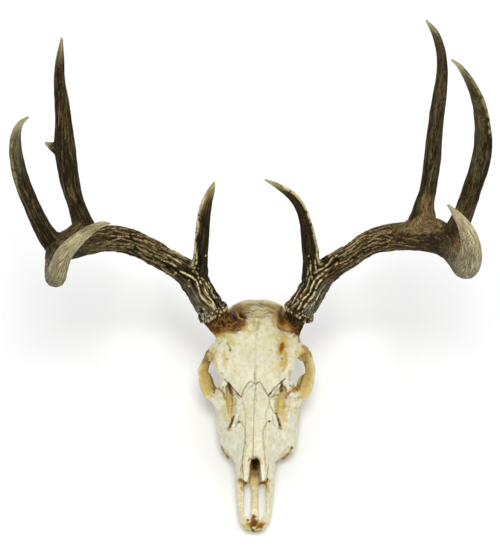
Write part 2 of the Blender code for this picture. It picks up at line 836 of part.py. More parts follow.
def part_skull(body):
    """Every bone of the skull, by name."""
    named = {}
    pieces = split(body, [nasal_shell()])
    for word, side, half in halves(take(pieces, NASALS_AT)):
        named[f"nasal_{word}"] = half
    pieces = split(pieces[0], [suture("face_back", FACE_BACK)])
    face, cranium = sorted(pieces[:2], key=lambda piece: middle_of(piece).y)
    for word, side, half in halves(face):
        pieces = split(half, [suture("muzzle_suture", MUZZLE_SUTURE)])
        named[f"upper_jaw_{word}"] = take(pieces, mirror_spot(UPPER_JAW_AT, side))
        named[f"muzzle_{word}"] = take(pieces, mirror_spot(MUZZLE_AT, side))
    pieces = split(cranium, [suture("forehead_underside", FOREHEAD_UNDERSIDE)])
    braincase, forehead = sorted(pieces[:2], key=lambda piece: middle_of(piece).z)
    for word, side, half in halves(forehead):
        named[f"forehead_{word}"] = half
    for word, side in (("left", -1), ("right", 1)):
        pieces = split(braincase, [cheek_shell(side)])
        named[f"cheek_{word}"] = take(pieces, mirror_spot(CHEEK_AT, side))
        braincase = pieces[0]
    named["braincase"] = braincase
    for name, thing in named.items():
        thing.name = name


# ---- finish -------------------------------------------------------------------------------------
def material(name, colour, roughness):
    """A plain dull material of one colour."""
    made = bpy.data.materials.new(name)
    made.use_nodes = True
    shader = made.node_tree.nodes["Principled BSDF"]
    shader.inputs["Base Color"].default_value = (*colour, 1.0)
    shader.inputs["Roughness"].default_value = roughness
    return made


def paint():
    """Each piece gets its own material, smooth shaded with its sharp edges kept."""
    for thing in bpy.context.scene.objects:
        colour = BONE
        if thing.name.startswith("antler"):
            colour = POLISHED if thing.name.endswith("beam_tip") else BARK
        thing.data.materials.clear()
        thing.data.materials.append(material(thing.name, colour, 0.6))
        thing.data.shade_smooth()
        thing.data.set_sharp_from_angle(angle=math.radians(40))


def stand_on_origin():
    """Moves every mesh so that the origin is the bottom centre of the whole model's box."""
    corners = [v.co for o in bpy.context.scene.objects for v in o.data.vertices]
    low = [min(c[i] for c in corners) for i in range(3)]
    high = [max(c[i] for c in corners) for i in range(3)]
    shift = Vector((-(low[0] + high[0]) / 2, -(low[1] + high[1]) / 2, -low[2]))
    for thing in bpy.context.scene.objects:
        thing.data.transform(Matrix.Translation(shift))


def main():
    for thing in list(bpy.data.objects):
        bpy.data.objects.remove(thing)
    skull = cut(whole_skull(), pedicle_rooms())
    part_skull(skull)
    antler("left", LEFT_BEAM, LEFT_TINES, LEFT_SPUR)
    antler("right", RIGHT_BEAM, RIGHT_TINES, None)
    paint()
    stand_on_origin()


main()
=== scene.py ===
"""Looks of a white-tailed buck's skull and antlers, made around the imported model.

Sizes and places are in millimetres until they are written into a mesh. A place on the skull is
(across, back, up): across from the midline, back from a zero just in front of the muzzle's tip, and up
from the floor. A place in the picture is in pixels, across and down. Left and right are those of a
person who faces the muzzle. A range of four numbers says where a zone begins, is full, ebbs and ends.
"""

import math
import random

import bmesh
import bpy
import numpy as np
from mathutils import Matrix, Vector
from mathutils.bvhtree import BVHTree

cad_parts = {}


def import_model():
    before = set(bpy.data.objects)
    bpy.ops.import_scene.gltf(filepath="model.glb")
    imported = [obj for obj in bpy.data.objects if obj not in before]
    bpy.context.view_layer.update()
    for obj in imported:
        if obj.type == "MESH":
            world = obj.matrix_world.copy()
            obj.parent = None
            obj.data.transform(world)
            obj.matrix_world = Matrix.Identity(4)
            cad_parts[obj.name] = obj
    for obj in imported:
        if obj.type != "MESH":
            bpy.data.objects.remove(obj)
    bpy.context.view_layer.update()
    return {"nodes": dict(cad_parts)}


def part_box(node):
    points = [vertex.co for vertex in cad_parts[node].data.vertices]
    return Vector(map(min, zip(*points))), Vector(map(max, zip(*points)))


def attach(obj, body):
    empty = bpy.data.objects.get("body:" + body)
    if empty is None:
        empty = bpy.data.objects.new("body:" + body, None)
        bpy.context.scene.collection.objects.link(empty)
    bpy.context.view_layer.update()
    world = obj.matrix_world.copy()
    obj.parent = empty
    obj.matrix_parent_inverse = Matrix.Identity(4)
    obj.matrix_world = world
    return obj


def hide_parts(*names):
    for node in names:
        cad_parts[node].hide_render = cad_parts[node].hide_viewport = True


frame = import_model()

MM = 0.001  # metres in a millimetre
SIDES = (("left", -1), ("right", 1))

# ---- the skull's own places ---------------------------------------------------------------------
NASION_BACK = 138.3  # where the nasal bones end, back from the zero
MIDLINE = (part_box("nasal_left")[1].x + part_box("nasal_right")[0].x) / 2 / MM
ZERO_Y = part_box("nasal_left")[1].y / MM - NASION_BACK
CREST = (0.0, 195.0, 105.0)  # the skull's highest point, between the antlers

# ---- the view of the photograph, in which marks and antlers are placed --------------------------
VIEW_ELEVATION = math.radians(50.0)
VIEW_AZIMUTH = math.radians(0.8)
VIEW_DISTANCE = 2200.0
PICTURE = (500.0, 553.0)
PIXEL = 0.98  # millimetres to a pixel at the crest
CREST_AT = (257.0, 318.0)  # the crest, in pixels
SENSOR = 36.0


def world(across, back, up):
    """A place on the skull in the model's own frame, in millimetres."""
    return np.array((MIDLINE + across, ZERO_Y + back, up))


COS_E, SIN_E = math.cos(VIEW_ELEVATION), math.sin(VIEW_ELEVATION)
COS_A, SIN_A = math.cos(VIEW_AZIMUTH), math.sin(VIEW_AZIMUTH)
TO_VIEWER = np.array((SIN_A * COS_E, -COS_A * COS_E, SIN_E))
VIEW_RIGHT = np.array((COS_A, SIN_A, 0.0))
VIEW_UP = np.array((-SIN_A * SIN_E, COS_A * SIN_E, COS_E))
VIEW_CENTRE = (
    world(*CREST)
    + VIEW_RIGHT * (PICTURE[0] / 2 - CREST_AT[0]) * PIXEL
    + VIEW_UP * (CREST_AT[1] - PICTURE[1] / 2) * PIXEL
)


def sighted(pixel_x, pixel_y, towards):
    """The place that a pixel shows, at a distance towards the viewer from the crest's plane."""
    nearer = (VIEW_DISTANCE - towards) / VIEW_DISTANCE
    right = (pixel_x - PICTURE[0] / 2) * PIXEL * nearer
    up = (PICTURE[1] / 2 - pixel_y) * PIXEL * nearer
    return VIEW_CENTRE + VIEW_RIGHT * right + VIEW_UP * up + TO_VIEWER * towards


def pictured(points):
    """The pixels at which places show, across and down."""
    offset = points - VIEW_CENTRE
    scale = PIXEL * (VIEW_DISTANCE - offset @ TO_VIEWER) / VIEW_DISTANCE
    return PICTURE[0] / 2 + offset @ VIEW_RIGHT / scale, PICTURE[1] / 2 - offset @ VIEW_UP / scale


# ---- antler stations: pixel across, pixel down, millimetres towards the viewer, radius ----------
BEAMS = {
    "left": [
        (215, 315.5, 12, 15), (202, 294, 18, 13.5), (188, 274, 24, 13), (166.5, 260.2, 28, 11.8),
        (148, 249.6, 34, 12.1), (130, 241.6, 42, 12.7), (112, 238.5, 54, 12.8), (92, 240, 75, 13),
        (73, 246, 108, 12), (59, 251, 152, 11.2), (55.5, 262.5, 200, 9.2), (55.5, 277, 238, 9.2),
        (58.5, 268, 262, 8.4), (64, 254.5, 276, 7.4), (74, 243, 288, 6.2), (88, 231.5, 297, 4.4),
        (101, 224.5, 303, 2.7), (110.5, 223.3, 306, 0.9),
    ],
    "right": [
        (297, 315.3, 12, 15), (310.5, 294, 18, 13.5), (322, 276, 24, 13), (338, 262.8, 28, 12),
        (352, 254.8, 34, 11.4), (370, 242.7, 42, 12.0), (388, 238, 54, 13.2), (408, 236, 74, 13.4),
        (430, 239, 108, 12.5), (448, 245, 150, 12.2), (459, 256, 195, 12), (466, 266, 235, 11.6),
        (470, 259, 262, 10.4), (471, 247.5, 280, 8.9), (468.5, 235, 292, 7.2), (462, 222, 302, 5),
        (454, 211.5, 309, 2.8), (447.5, 204.5, 313, 0.9),
    ],
}
TINES = {
    "left": {
        "brow": [
            (197, 279, 22, 10), (200.4, 258, 33, 7.3), (202, 238, 43, 7.0), (203.8, 217, 54, 6.5),
            (207.8, 199, 63, 5.0), (211.6, 189.5, 67, 3.4), (214.6, 181.5, 70, 0.9),
        ],
        "second": [
            (88, 238, 78, 12), (79.3, 214, 86, 9.1), (76, 204, 90, 8.3), (71.8, 190, 96, 8.7),
            (67.8, 170, 104, 9.7), (64.6, 142, 115, 9.6), (63.4, 120, 124, 7.8), (61.9, 103, 131, 6.9),
            (59.4, 80, 140, 5.3), (60, 60, 148, 4.1), (61.8, 37.5, 154, 1.0),
        ],
        "third": [
            (57.5, 249, 150, 9.8), (44.8, 232, 158, 8.6), (33.8, 210, 170, 7.6), (23, 184, 184, 7.3),
            (16.6, 159, 197, 6.5), (15.6, 138, 207, 4.9), (20, 124, 213, 3), (29, 116.7, 216, 0.9),
        ],
        "spur": [(63, 152, 112, 6), (53, 147, 114, 4), (44.8, 142.6, 116, 0.9)],
        "web": [(50, 238, 153, 7.5), (60.5, 241.8, 128, 8.6), (71, 236, 104, 8), (79, 226, 92, 5.6)],
    },
    "right": {
        "brow": [
            (312, 280, 22, 10.5), (311.2, 260, 32, 8.2), (309, 241, 42, 7.8), (306, 224.5, 50, 6.2),
            (300.6, 208, 57, 5.2), (291.2, 195.5, 63, 4.5), (277, 185.6, 68, 2.8), (264.5, 179.6, 72, 0.9),
        ],
        "second": [
            (418, 234, 84, 13), (422.4, 219.5, 89, 12.8), (424, 207, 93, 9.9), (428.4, 188, 99, 8.0),
            (432.4, 160, 108, 8.1), (434.6, 135, 118, 7.5), (437.6, 110, 128, 7.0), (440.6, 88, 136, 6.2),
            (442.3, 70, 142, 5.2), (440.6, 50, 149, 4.4), (435, 33, 154, 3.4), (425.7, 19.6, 158, 0.9),
        ],
        "third": [
            (450, 243, 150, 11.5), (463, 215, 160, 9.3), (471.8, 190, 170, 8.8), (479, 168, 180, 8.8),
            (482.8, 148, 188, 8.6), (482.6, 126, 197, 7.4), (479, 104, 205, 6.1), (471, 84, 212, 4.3),
            (460, 67, 218, 2.5), (451, 59.5, 220, 0.8),
        ],
        "web": [(404, 234, 76, 8.5), (419, 226.5, 84, 10.5), (436, 229, 112, 9.5), (452, 238, 150, 9)],
    },
}
ANTLER_NODES = ("beam", "outer_beam", "beam_tip", "brow_tine", "second_tine", "third_tine")
ANTLER_VOXEL = 0.9
ROUTE_STEP = 3.0  # between the rings of a limb's tube
LIMB_SIDES = 28
BURR = [(0.0, 14.2), (2.5, 15.9), (6.0, 15.7), (9.5, 13.7)]  # height over its foot, radius


# ---- meshes as arrays ---------------------------------------------------------------------------
RELAX_PULL, RELAX_PUSH = 0.6, -0.615  # how far a point goes to its neighbours' middle, and back


def points_of(thing):
    """The object's points, in millimetres, one to a row."""
    flat = np.empty(len(thing.data.vertices) * 3, np.float32)
    thing.data.vertices.foreach_get("co", flat)
    return flat.reshape(-1, 3).astype(float) / MM


def move_points(thing, points):
    thing.data.vertices.foreach_set("co", (points * MM).astype(np.float32).ravel())
    thing.data.update()


def normals_of(thing):
    flat = np.empty(len(thing.data.vertices) * 3, np.float32)
    thing.data.vertex_normals.foreach_get("vector", flat)
    return flat.reshape(-1, 3).astype(float)


class Net:
    """Which points of a mesh are joined by an edge."""

    def __init__(self, thing):
        pairs = np.empty(len(thing.data.edges) * 2, np.int32)
        thing.data.edges.foreach_get("vertices", pairs)
        self.first, self.second = pairs.reshape(-1, 2).T
        self.neighbours = np.bincount(pairs, minlength=len(thing.data.vertices))

    def sums(self, row):
        """For each point, the sum of its neighbours' values."""
        count = len(row)
        from_second = np.bincount(self.first, row[self.second], count)
        return from_second + np.bincount(self.second, row[self.first], count)


def relax(thing, rounds, strength=1.0):
    """Smooths the surface round by round, each followed by a swelling so that it doesn't shrink."""
    points, net = points_of(thing), Net(thing)
    strength = np.broadcast_to(strength, len(points))[:, None]
    for _ in range(rounds):
        for pull in (RELAX_PULL, RELAX_PUSH):
            means = np.stack([net.sums(row) for row in points.T], axis=1) / net.neighbours[:, None]
            points += pull * strength * (means - points)
    move_points(thing, points)


def put_values(thing, name, values):
    """Stores a number, a colour or a vector for each point under that name."""
    values = np.asarray(values, np.float32)
    kinds = {1: ("FLOAT", "value"), 3: ("FLOAT_VECTOR", "vector"), 4: ("FLOAT_COLOR", "color")}
    kind, field = kinds[1 if values.ndim == 1 else values.shape[1]]
    store = thing.data.attributes.new(name, kind, "POINT")
    store.data.foreach_set(field, values.ravel())


def put_tint(thing, colours):
    """Stores the colour of each point."""
    put_values(thing, "tint", np.column_stack((np.clip(colours, 0, 1), np.ones(len(colours)))))


# ---- random but repeatable swells, and shares from 0 to 1 ---------------------------------------
CELLS = 256  # after so many cells the slopes repeat
SHUFFLE = np.random.default_rng(3).permutation(CELLS)
SLOPES = np.random.default_rng(5).normal(size=(CELLS, 3))
SLOPES /= np.linalg.norm(SLOPES, axis=1)[:, None]


def rough(points, size, seed=0):
    """Smooth random swells about `size` across, between about -1 and 1, at each point."""
    scaled = np.asarray(points, float) / size + seed * 13.7
    cell = np.floor(scaled).astype(int)
    inside = scaled - cell
    ease = inside**3 * (inside * (inside * 6 - 15) + 10)
    total = np.zeros(len(scaled))
    for corner in np.ndindex(2, 2, 2):
        at = cell + corner
        slot = SHUFFLE[at[:, 0] % CELLS]
        slot = SHUFFLE[(slot + at[:, 1]) % CELLS]
        slot = SHUFFLE[(slot + at[:, 2]) % CELLS]
        rise = (SLOPES[slot] * (inside - corner)).sum(axis=1)
        share = np.where(corner, ease, 1 - ease).prod(axis=1)
        total += rise * share
    return total * 1.5


def fade(value, start, end):
    """From 0 at start to 1 at end, smoothly; start may be the larger."""
    share = np.clip((value - start) / (end - start), 0, 1)
    return share * share * (3 - 2 * share)


def band(value, start, full, ebb, end):
    """From 0 at start to 1 at full, and from 1 at ebb to 0 at end."""
    return fade(value, start, full) * fade(value, end, ebb)


def peak(value, width):
    """1 where the value is 0, and about a third where it is the width."""
    return np.exp(-((value / width) ** 2))


def cloud(points, size, seed, start, end):
    """Soft random patches, where the swells pass from start to end."""
    return fade(rough(points, size, seed), start, end)


def blend(under, over, share):
    """One colour laid over another by a share for each point."""
    under = np.asarray(under, float)
    return under + (np.asarray(over, float) - under) * np.asarray(share)[:, None]


class Paint:
    """The colour of every point of a piece, laid on coat by coat."""

    def __init__(self, ground):
        self.colour = np.array(ground)

    def lay(self, tone, share):
        self.colour = blend(self.colour, tone, share)


# ---- antlers: limbs and the places round them ---------------------------------------------------
def smooth_route(stations, step):
    """Points and radii about `step` apart on a smooth curve through the stations."""
    values = np.asarray(stations, float)
    gaps = np.linalg.norm(np.diff(values[:, :3], axis=0), axis=1)
    knots = np.concatenate(([0.0], np.cumsum(gaps)))
    slopes = np.empty_like(values)
    for i in range(len(values)):
        before, after = max(i - 1, 0), min(i + 1, len(values) - 1)
        slopes[i] = (values[after] - values[before]) / (knots[after] - knots[before])
    route = []
    for i, gap in enumerate(gaps):
        for t in np.arange(max(1, round(gap / step))) / max(1, round(gap / step)):
            route.append(
                values[i] * (2 * t**3 - 3 * t**2 + 1)
                + slopes[i] * gap * (t**3 - 2 * t**2 + t)
                + values[i + 1] * (3 * t**2 - 2 * t**3)
                + slopes[i + 1] * gap * (t**3 - t**2)
            )
    route.append(values[-1])
    return np.array(route)


def unit(rows):
    return rows / np.linalg.norm(rows, axis=-1, keepdims=True)


class Limb:
    """A beam or tine: its centre line, and how to tell where round it a point lies.

    Angle 0 faces the viewer at the limb's foot, and a quarter turn on is the viewer's right.
    """

    def __init__(self, stations, profile=()):
        placed = [(*sighted(x, y, towards), radius) for x, y, towards, radius in stations]
        route = smooth_route(placed, ROUTE_STEP)
        if profile:
            foot, onward = route[0, :3], unit(route[2, :3] - route[0, :3])
            start = [(*(foot + onward * rise), radius) for rise, radius in profile]
            beyond = np.linalg.norm(route[:, :3] - foot, axis=1) > profile[-1][0] + ROUTE_STEP / 2
            route = np.vstack((start, route[beyond]))
        self.spots, self.radii = route[:, :3], route[:, 3]
        steps = np.linalg.norm(np.diff(self.spots, axis=0), axis=1)
        self.along = np.concatenate(([0.0], np.cumsum(steps)))
        self.length = self.along[-1]
        self.onward = unit(np.gradient(self.spots, axis=0))
        self.facing = np.empty_like(self.spots)
        side = TO_VIEWER
        for i, onward in enumerate(self.onward):
            side = unit(side - onward * side.dot(onward))
            self.facing[i] = side
        self.right = np.cross(self.onward, self.facing)
        if self.right[0].dot(VIEW_RIGHT) < 0:
            self.right = -self.right

    def mesh(self, name):
        """A closed tube along the limb."""
        turns = np.arange(LIMB_SIDES) * math.tau / LIMB_SIDES
        return tube(name, [
            spot + radius * (np.outer(np.cos(turns), facing) + np.outer(np.sin(turns), right))
            for spot, radius, facing, right in zip(self.spots, self.radii, self.facing, self.right)
        ])

    def spot(self, along, angle, out=0.0):
        """The place at a length along and an angle round, on the surface or a little out of it."""
        values = [np.interp(along, self.along, column) for column in
                  (*self.spots.T, *self.facing.T, *self.right.T, self.radii)]
        centre, facing, right, radius = values[:3], values[3:6], values[6:9], values[9]
        away = np.array(facing) * math.cos(angle) + np.array(right) * math.sin(angle)
        return np.array(centre) + away * (radius + out)

    def locate(self, points):
        """Length along, angle, own radius there and distance from the centre line, for each point."""
        squares = (self.spots**2).sum(axis=1) - 2 * points @ self.spots.T
        nearest = squares.argmin(axis=1)

        def on_step(first):
            step = self.spots[first + 1] - self.spots[first]
            share = ((points - self.spots[first]) * step).sum(axis=1) / (step**2).sum(axis=1)
            share = np.clip(share, 0, 1)
            offset = points - self.spots[first] - step * share[:, None]
            return np.linalg.norm(offset, axis=1), first, share, *offset.T

        before = on_step(np.maximum(nearest - 1, 0))
        after = on_step(np.minimum(nearest, len(self.spots) - 2))
        closer = after[0] < before[0]
        away, first, share, *offset = (np.where(closer, new, old) for new, old in zip(after, before))
        offset = np.stack(offset, axis=1)

        def between(values):
            rows = values.T
            return (rows[..., first] + (rows[..., first + 1] - rows[..., first]) * share).T

        facing, right = between(self.facing), between(self.right)
        angle = np.arctan2((offset * right).sum(axis=1), (offset * facing).sum(axis=1))
        return between(self.along), angle, between(self.radii), away


# ---- objects ------------------------------------------------------------------------------------
def linked(name, data):
    """A new object of the scene."""
    thing = bpy.data.objects.new(name, data)
    bpy.context.scene.collection.objects.link(thing)
    return thing


def tube(name, rings):
    """A closed tube through rings of places, which all have as many places."""
    shape = bmesh.new()
    rows = [[shape.verts.new(place * MM) for place in ring] for ring in rings]
    for one, other in zip(rows, rows[1:]):
        for i in range(len(one)):
            j = (i + 1) % len(one)
            shape.faces.new((one[i], one[j], other[j], other[i]))
    shape.faces.new(rows[0])
    shape.faces.new(rows[-1])
    bmesh.ops.recalc_face_normals(shape, faces=shape.faces)
    for face in shape.faces:
        face.smooth = True
    mesh = bpy.data.meshes.new(name)
    shape.to_mesh(mesh)
    shape.free()
    return linked(name, mesh)


def choose(*things):
    """Selects these objects alone; the first becomes the active one."""
    bpy.ops.object.select_all(action="DESELECT")
    for thing in things:
        thing.select_set(True)
    bpy.context.view_layer.objects.active = things[0]


def join(name, things):
    choose(*things)
    bpy.ops.object.join()
    things[0].name = name
    return things[0]


def apply(thing, kind, **settings):
    """Adds a modifier with those settings and applies it."""
    choose(thing)
    modifier = thing.modifiers.new(kind.lower(), kind)
    for key, value in settings.items():
        setattr(modifier, key, value)
    bpy.ops.object.modifier_apply(modifier=modifier.name)


def remesh(thing, voxel):
    apply(thing, "REMESH", mode="VOXEL", voxel_size=voxel * MM, use_smooth_shade=True)


def pearl(place, radius):
    """A small lump, later fused with what it sits on."""
    bpy.ops.object.select_all(action="DESELECT")
    bpy.ops.mesh.primitive_ico_sphere_add(subdivisions=2, radius=radius * MM, location=Vector(place) * MM)
    lump = bpy.context.active_object
    lump.name = "pearl"
    bpy.ops.object.transform_apply(location=True, rotation=False, scale=False)
    return lump


# ---- antlers: growth ----------------------------------------------------------------------------
GROOVE = (0.006, 0.0045, 0.002)
BARK = (0.030, 0.022, 0.010)
BARK_WARM = (0.105, 0.060, 0.021)
BARK_TAN = (0.27, 0.20, 0.088)
RIDGE_TAN = (0.42, 0.33, 0.155)
RIDGE_CREAM = (0.80, 0.68, 0.38)
TIP_OLIVE = (0.34, 0.315, 0.175)
TIP_CREAM = (0.76, 0.69, 0.41)
TIP_YELLOW = (0.50, 0.40, 0.13)
GREY_BARK = (0.165, 0.155, 0.11)
GREY_PALE = (0.30, 0.295, 0.23)

# raised lines down a limb: angle at its foot, where it starts and ends along the limb, half width, height
RIDGE_LINES = {
    "left": {
        "beam": [
            (0.02, 3, 66, 0.95, 1.3), (0.42, 6, 52, 0.9, 0.9), (0.7, 14, 60, 0.8, 0.7),
            (0.95, 14, 50, 0.8, 0.4), (2.1, 8, 75, 1.0, 0.8), (2.8, 8, 95, 1.1, 0.8),
            (-2.6, 10, 85, 1.1, 0.7), (-2.0, 16, 120, 1.0, 0.7), (-0.75, 60, 170, 0.7, 0.5),
            (-0.4, 72, 190, 0.7, 0.5), (-0.05, 60, 178, 0.8, 0.6), (0.25, 70, 200, 0.7, 0.5),
            (0.55, 58, 160, 0.8, 0.7), (0.85, 66, 205, 0.8, 0.6), (1.2, 56, 190, 0.9, 0.6),
            (1.6, 60, 180, 0.9, 0.6), (2.4, 80, 200, 0.9, 0.5),
        ],
        "brow": [
            (-0.95, 6, 104, 2.3, 0.8), (-1.35, 10, 96, 1.8, 0.5), (-0.5, 2, 40, 0.9, 0.8),
            (2.4, 4, 50, 1.0, 0.5), (-2.2, 10, 90, 1.4, 0.4),
        ],
        "third": [(-0.95, 62, 160, 2.0, 0.35)],
    },
    "right": {
        "beam": [
            (-0.95, 6, 60, 0.8, 0.8), (-0.6, 4, 70, 0.9, 1.0), (-0.25, 4, 64, 0.9, 1.0),
            (0.12, 6, 58, 0.9, 0.9), (0.5, 12, 50, 0.7, 0.6), (-2.1, 8, 70, 1.1, 0.8),
            (2.7, 10, 90, 1.2, 0.7), (-2.8, 8, 85, 1.2, 0.8), (0.7, 64, 170, 0.7, 0.5),
            (0.35, 72, 190, 0.7, 0.5), (0.0, 62, 178, 0.8, 0.6), (-0.3, 70, 200, 0.7, 0.5),
            (-0.6, 60, 160, 0.8, 0.7), (-0.9, 66, 205, 0.8, 0.6), (-1.25, 60, 190, 0.9, 0.6),
            (-1.65, 60, 180, 0.9, 0.6), (-2.4, 80, 200, 0.9, 0.5),
        ],
        "brow": [
            (1.1, 2, 118, 1.8, 0.9), (1.5, 6, 112, 1.7, 0.6), (0.45, 2, 34, 0.8, 0.8),
            (2.3, 10, 90, 1.4, 0.4), (-0.1, 2, 30, 0.8, 0.7), (-0.6, 2, 24, 0.7, 0.6),
        ],
        "third": [(1.1, 105, 225, 2.3, 0.4)],
    },
}
# patches of another colour on a beam: along, angle, half length, half width, colour, share
PATCHES = {
    "left": [
        (17, 0.30, 8, 2.6, RIDGE_CREAM, 0.8), (32, -0.9, 30, 8, GREY_BARK, 0.8),
        (12, -0.75, 8, 7, GREY_PALE, 0.75), (10, 0.75, 5, 4, GREY_BARK, 0.6),
        (128, 1.1, 62, 9, BARK_WARM, 0.6), (70, 1.3, 12, 5, BARK_TAN, 0.8),
    ],
    "right": [
        (30, 0.75, 34, 8, (0.15, 0.14, 0.09), 0.8), (14, 0.5, 8, 6, GREY_PALE, 0.6),
        (62, 0.3, 16, 8, (0.14, 0.075, 0.035), 0.8), (120, -1.1, 60, 9, BARK_WARM, 0.6),
    ],
}
# patches placed in the picture: limb, middle and half sizes in pixels, colour, share
PICTURE_PATCHES = {
    "left": [
        ("third", 12, 163, 12, 34, (0.135, 0.125, 0.06), 0.9),
        ("beam", 84, 225, 16, 8, (0.20, 0.135, 0.055), 0.6),
        ("web", 70, 232, 12, 12, (0.17, 0.11, 0.045), 0.6),
        ("beam", 100, 250, 26, 5, (0.20, 0.165, 0.07), 0.5),
        ("beam", 66, 264, 4, 12, (0.24, 0.20, 0.11), 0.4),
        ("beam", 205.5, 291, 3.2, 9, (0.52, 0.43, 0.23), 0.55),
        ("beam", 198, 298, 4.5, 8, (0.30, 0.29, 0.23), 0.5),
        ("beam", 125, 243, 11, 8, (0.05, 0.038, 0.018), 0.35),
        ("beam", 155, 252, 9, 5, (0.20, 0.14, 0.06), 0.4),
        ("beam", 182, 258, 6, 5, (0.30, 0.24, 0.11), 0.45),
    ],
    "right": [
        ("web", 424, 220, 20, 13, (0.36, 0.25, 0.11), 0.9),
        ("beam", 420, 226, 28, 9, (0.30, 0.21, 0.09), 0.75),
        ("second", 427, 207, 10, 14, (0.28, 0.195, 0.085), 0.75),
        # Painted shade: the darker, olive inner side of the right beam's tip.
        ("beam", 466, 257, 9, 23, (0.235, 0.205, 0.115), 0.7),
        ("beam", 459, 245, 5, 14, (0.26, 0.165, 0.065), 0.8),
        ("beam", 462, 226, 3, 10, (0.30, 0.19, 0.07), 0.6),
        ("third", 476, 130, 9, 50, (0.13, 0.12, 0.055), 0.5),
        ("second", 438, 110, 9, 76, (0.10, 0.088, 0.042), 0.5),
        ("beam", 356, 242, 9, 5, (0.11, 0.085, 0.045), 0.55),
        ("beam", 371, 234, 9, 4, (0.11, 0.08, 0.04), 0.45),
        ("beam", 356, 252, 9, 4, (0.20, 0.14, 0.065), 0.4),
    ],
}
# how far back from its point a limb is rubbed pale
PALE_LENGTH = {"beam": 118, "brow": 20, "second": 16, "third": 27, "spur": 5, "web": 0}
GROOVE_DEPTH = {"beam": 1.15, "brow": 0.75, "second": 0.42, "third": 0.42, "spur": 0.3, "web": 0.6}
TAN_SHARE = {"beam": 1.0, "brow": 0.2, "second": 0.5, "third": 0.55, "spur": 0.5, "web": 0.7}
# how far along a limb its rough lower part ends, and from where down it is roughest
LOWER_PART = {"beam": (150, 60), "brow": (55, 8)}
# ridges of the bark: how closely they stand round a limb, and over what length they change
WANDER_LANES = (1.3, 16.25)
WIDE_LANES = (4.4, 30)
FINE_LANES = (9.0, 17)
TWIST = 0.26  # how far the ridges wander round the limb, in radians
FULL_RADIUS = 9.0  # a thinner limb has shallower bark
ON_SURFACE = 4.0  # a point this near a limb's own surface belongs to it
FORK_REACH, FORK_FILL = 5.5, 0.5  # how wide the hollow of a fork is, and how far it is filled
LIMB_BLEND = 1.6  # how gently one limb's bark passes into the next one's
# what a point near several limbs takes from them all
MIXED = ("height", "groove", "wide", "fine", "pale", "bright", "lower", "line", "tan", "cream", "grain")
# rows of pearls on the burr: how many, height over its foot, how far out, smallest and largest radius
BURR_ROWS = ((27, 2.6, -0.5, 1.1, 2.1), (25, 6.4, -0.4, 0.6, 1.2))
MISSING = 0.14  # the share of a row's pearls that never grew
# scattered pearls: limb, where they start and end along it, how many
PEARL_FIELDS = (("beam", 10, 74, 44), ("brow", 4, 34, 12))
BEAM_PEARL = (0.65, 1.25)  # smallest and largest radius of a scattered pearl


def wrapped(angle):
    return (angle + math.pi) % math.tau - math.pi


def lanes(angle, along, closeness, length):
    """Places in which round swells become ridges that run down a limb."""
    return np.stack((np.cos(angle) * closeness, np.sin(angle) * closeness, along / length), axis=1)


def down_line(along, length, key):
    """Places for the swells down one line, with others for each key."""
    return np.stack((along / length, 0 * along + key, 0 * along), axis=1)


def raised_lines(rows, along, angle, radius, points):
    """Height of the lines that run down one limb, and the mask of their tops."""
    height, mask = np.zeros(len(points)), np.zeros(len(points))
    for start_angle, start, end, width, rise in rows:
        key = start_angle * 10 + start
        course = down_line(along, 16, key)
        centre = start_angle + rough(course, 1.0, 4) * 0.22 + rough(course * 3.1, 1.0, 5) * 0.07
        beads = 0.55 + 0.75 * rough(down_line(along, 2.4, key), 1.0, 6)
        across = wrapped(angle - centre) * radius / (width * 0.84)
        window = band(along, start, start + 8, end - 14, end)
        line = peak(across, 1) * window
        height += rise * line * beads - 0.5 * rise * window * peak(np.abs(across) - 2.1, 1)
        broken = fade(beads + 0.6 * rough(points, 4, 7), 0.15, 0.6)
        mask = np.maximum(mask, line * (0.3 + 0.7 * np.clip(rise, 0, 1)) * (0.1 + 0.9 * broken))
    return height, mask


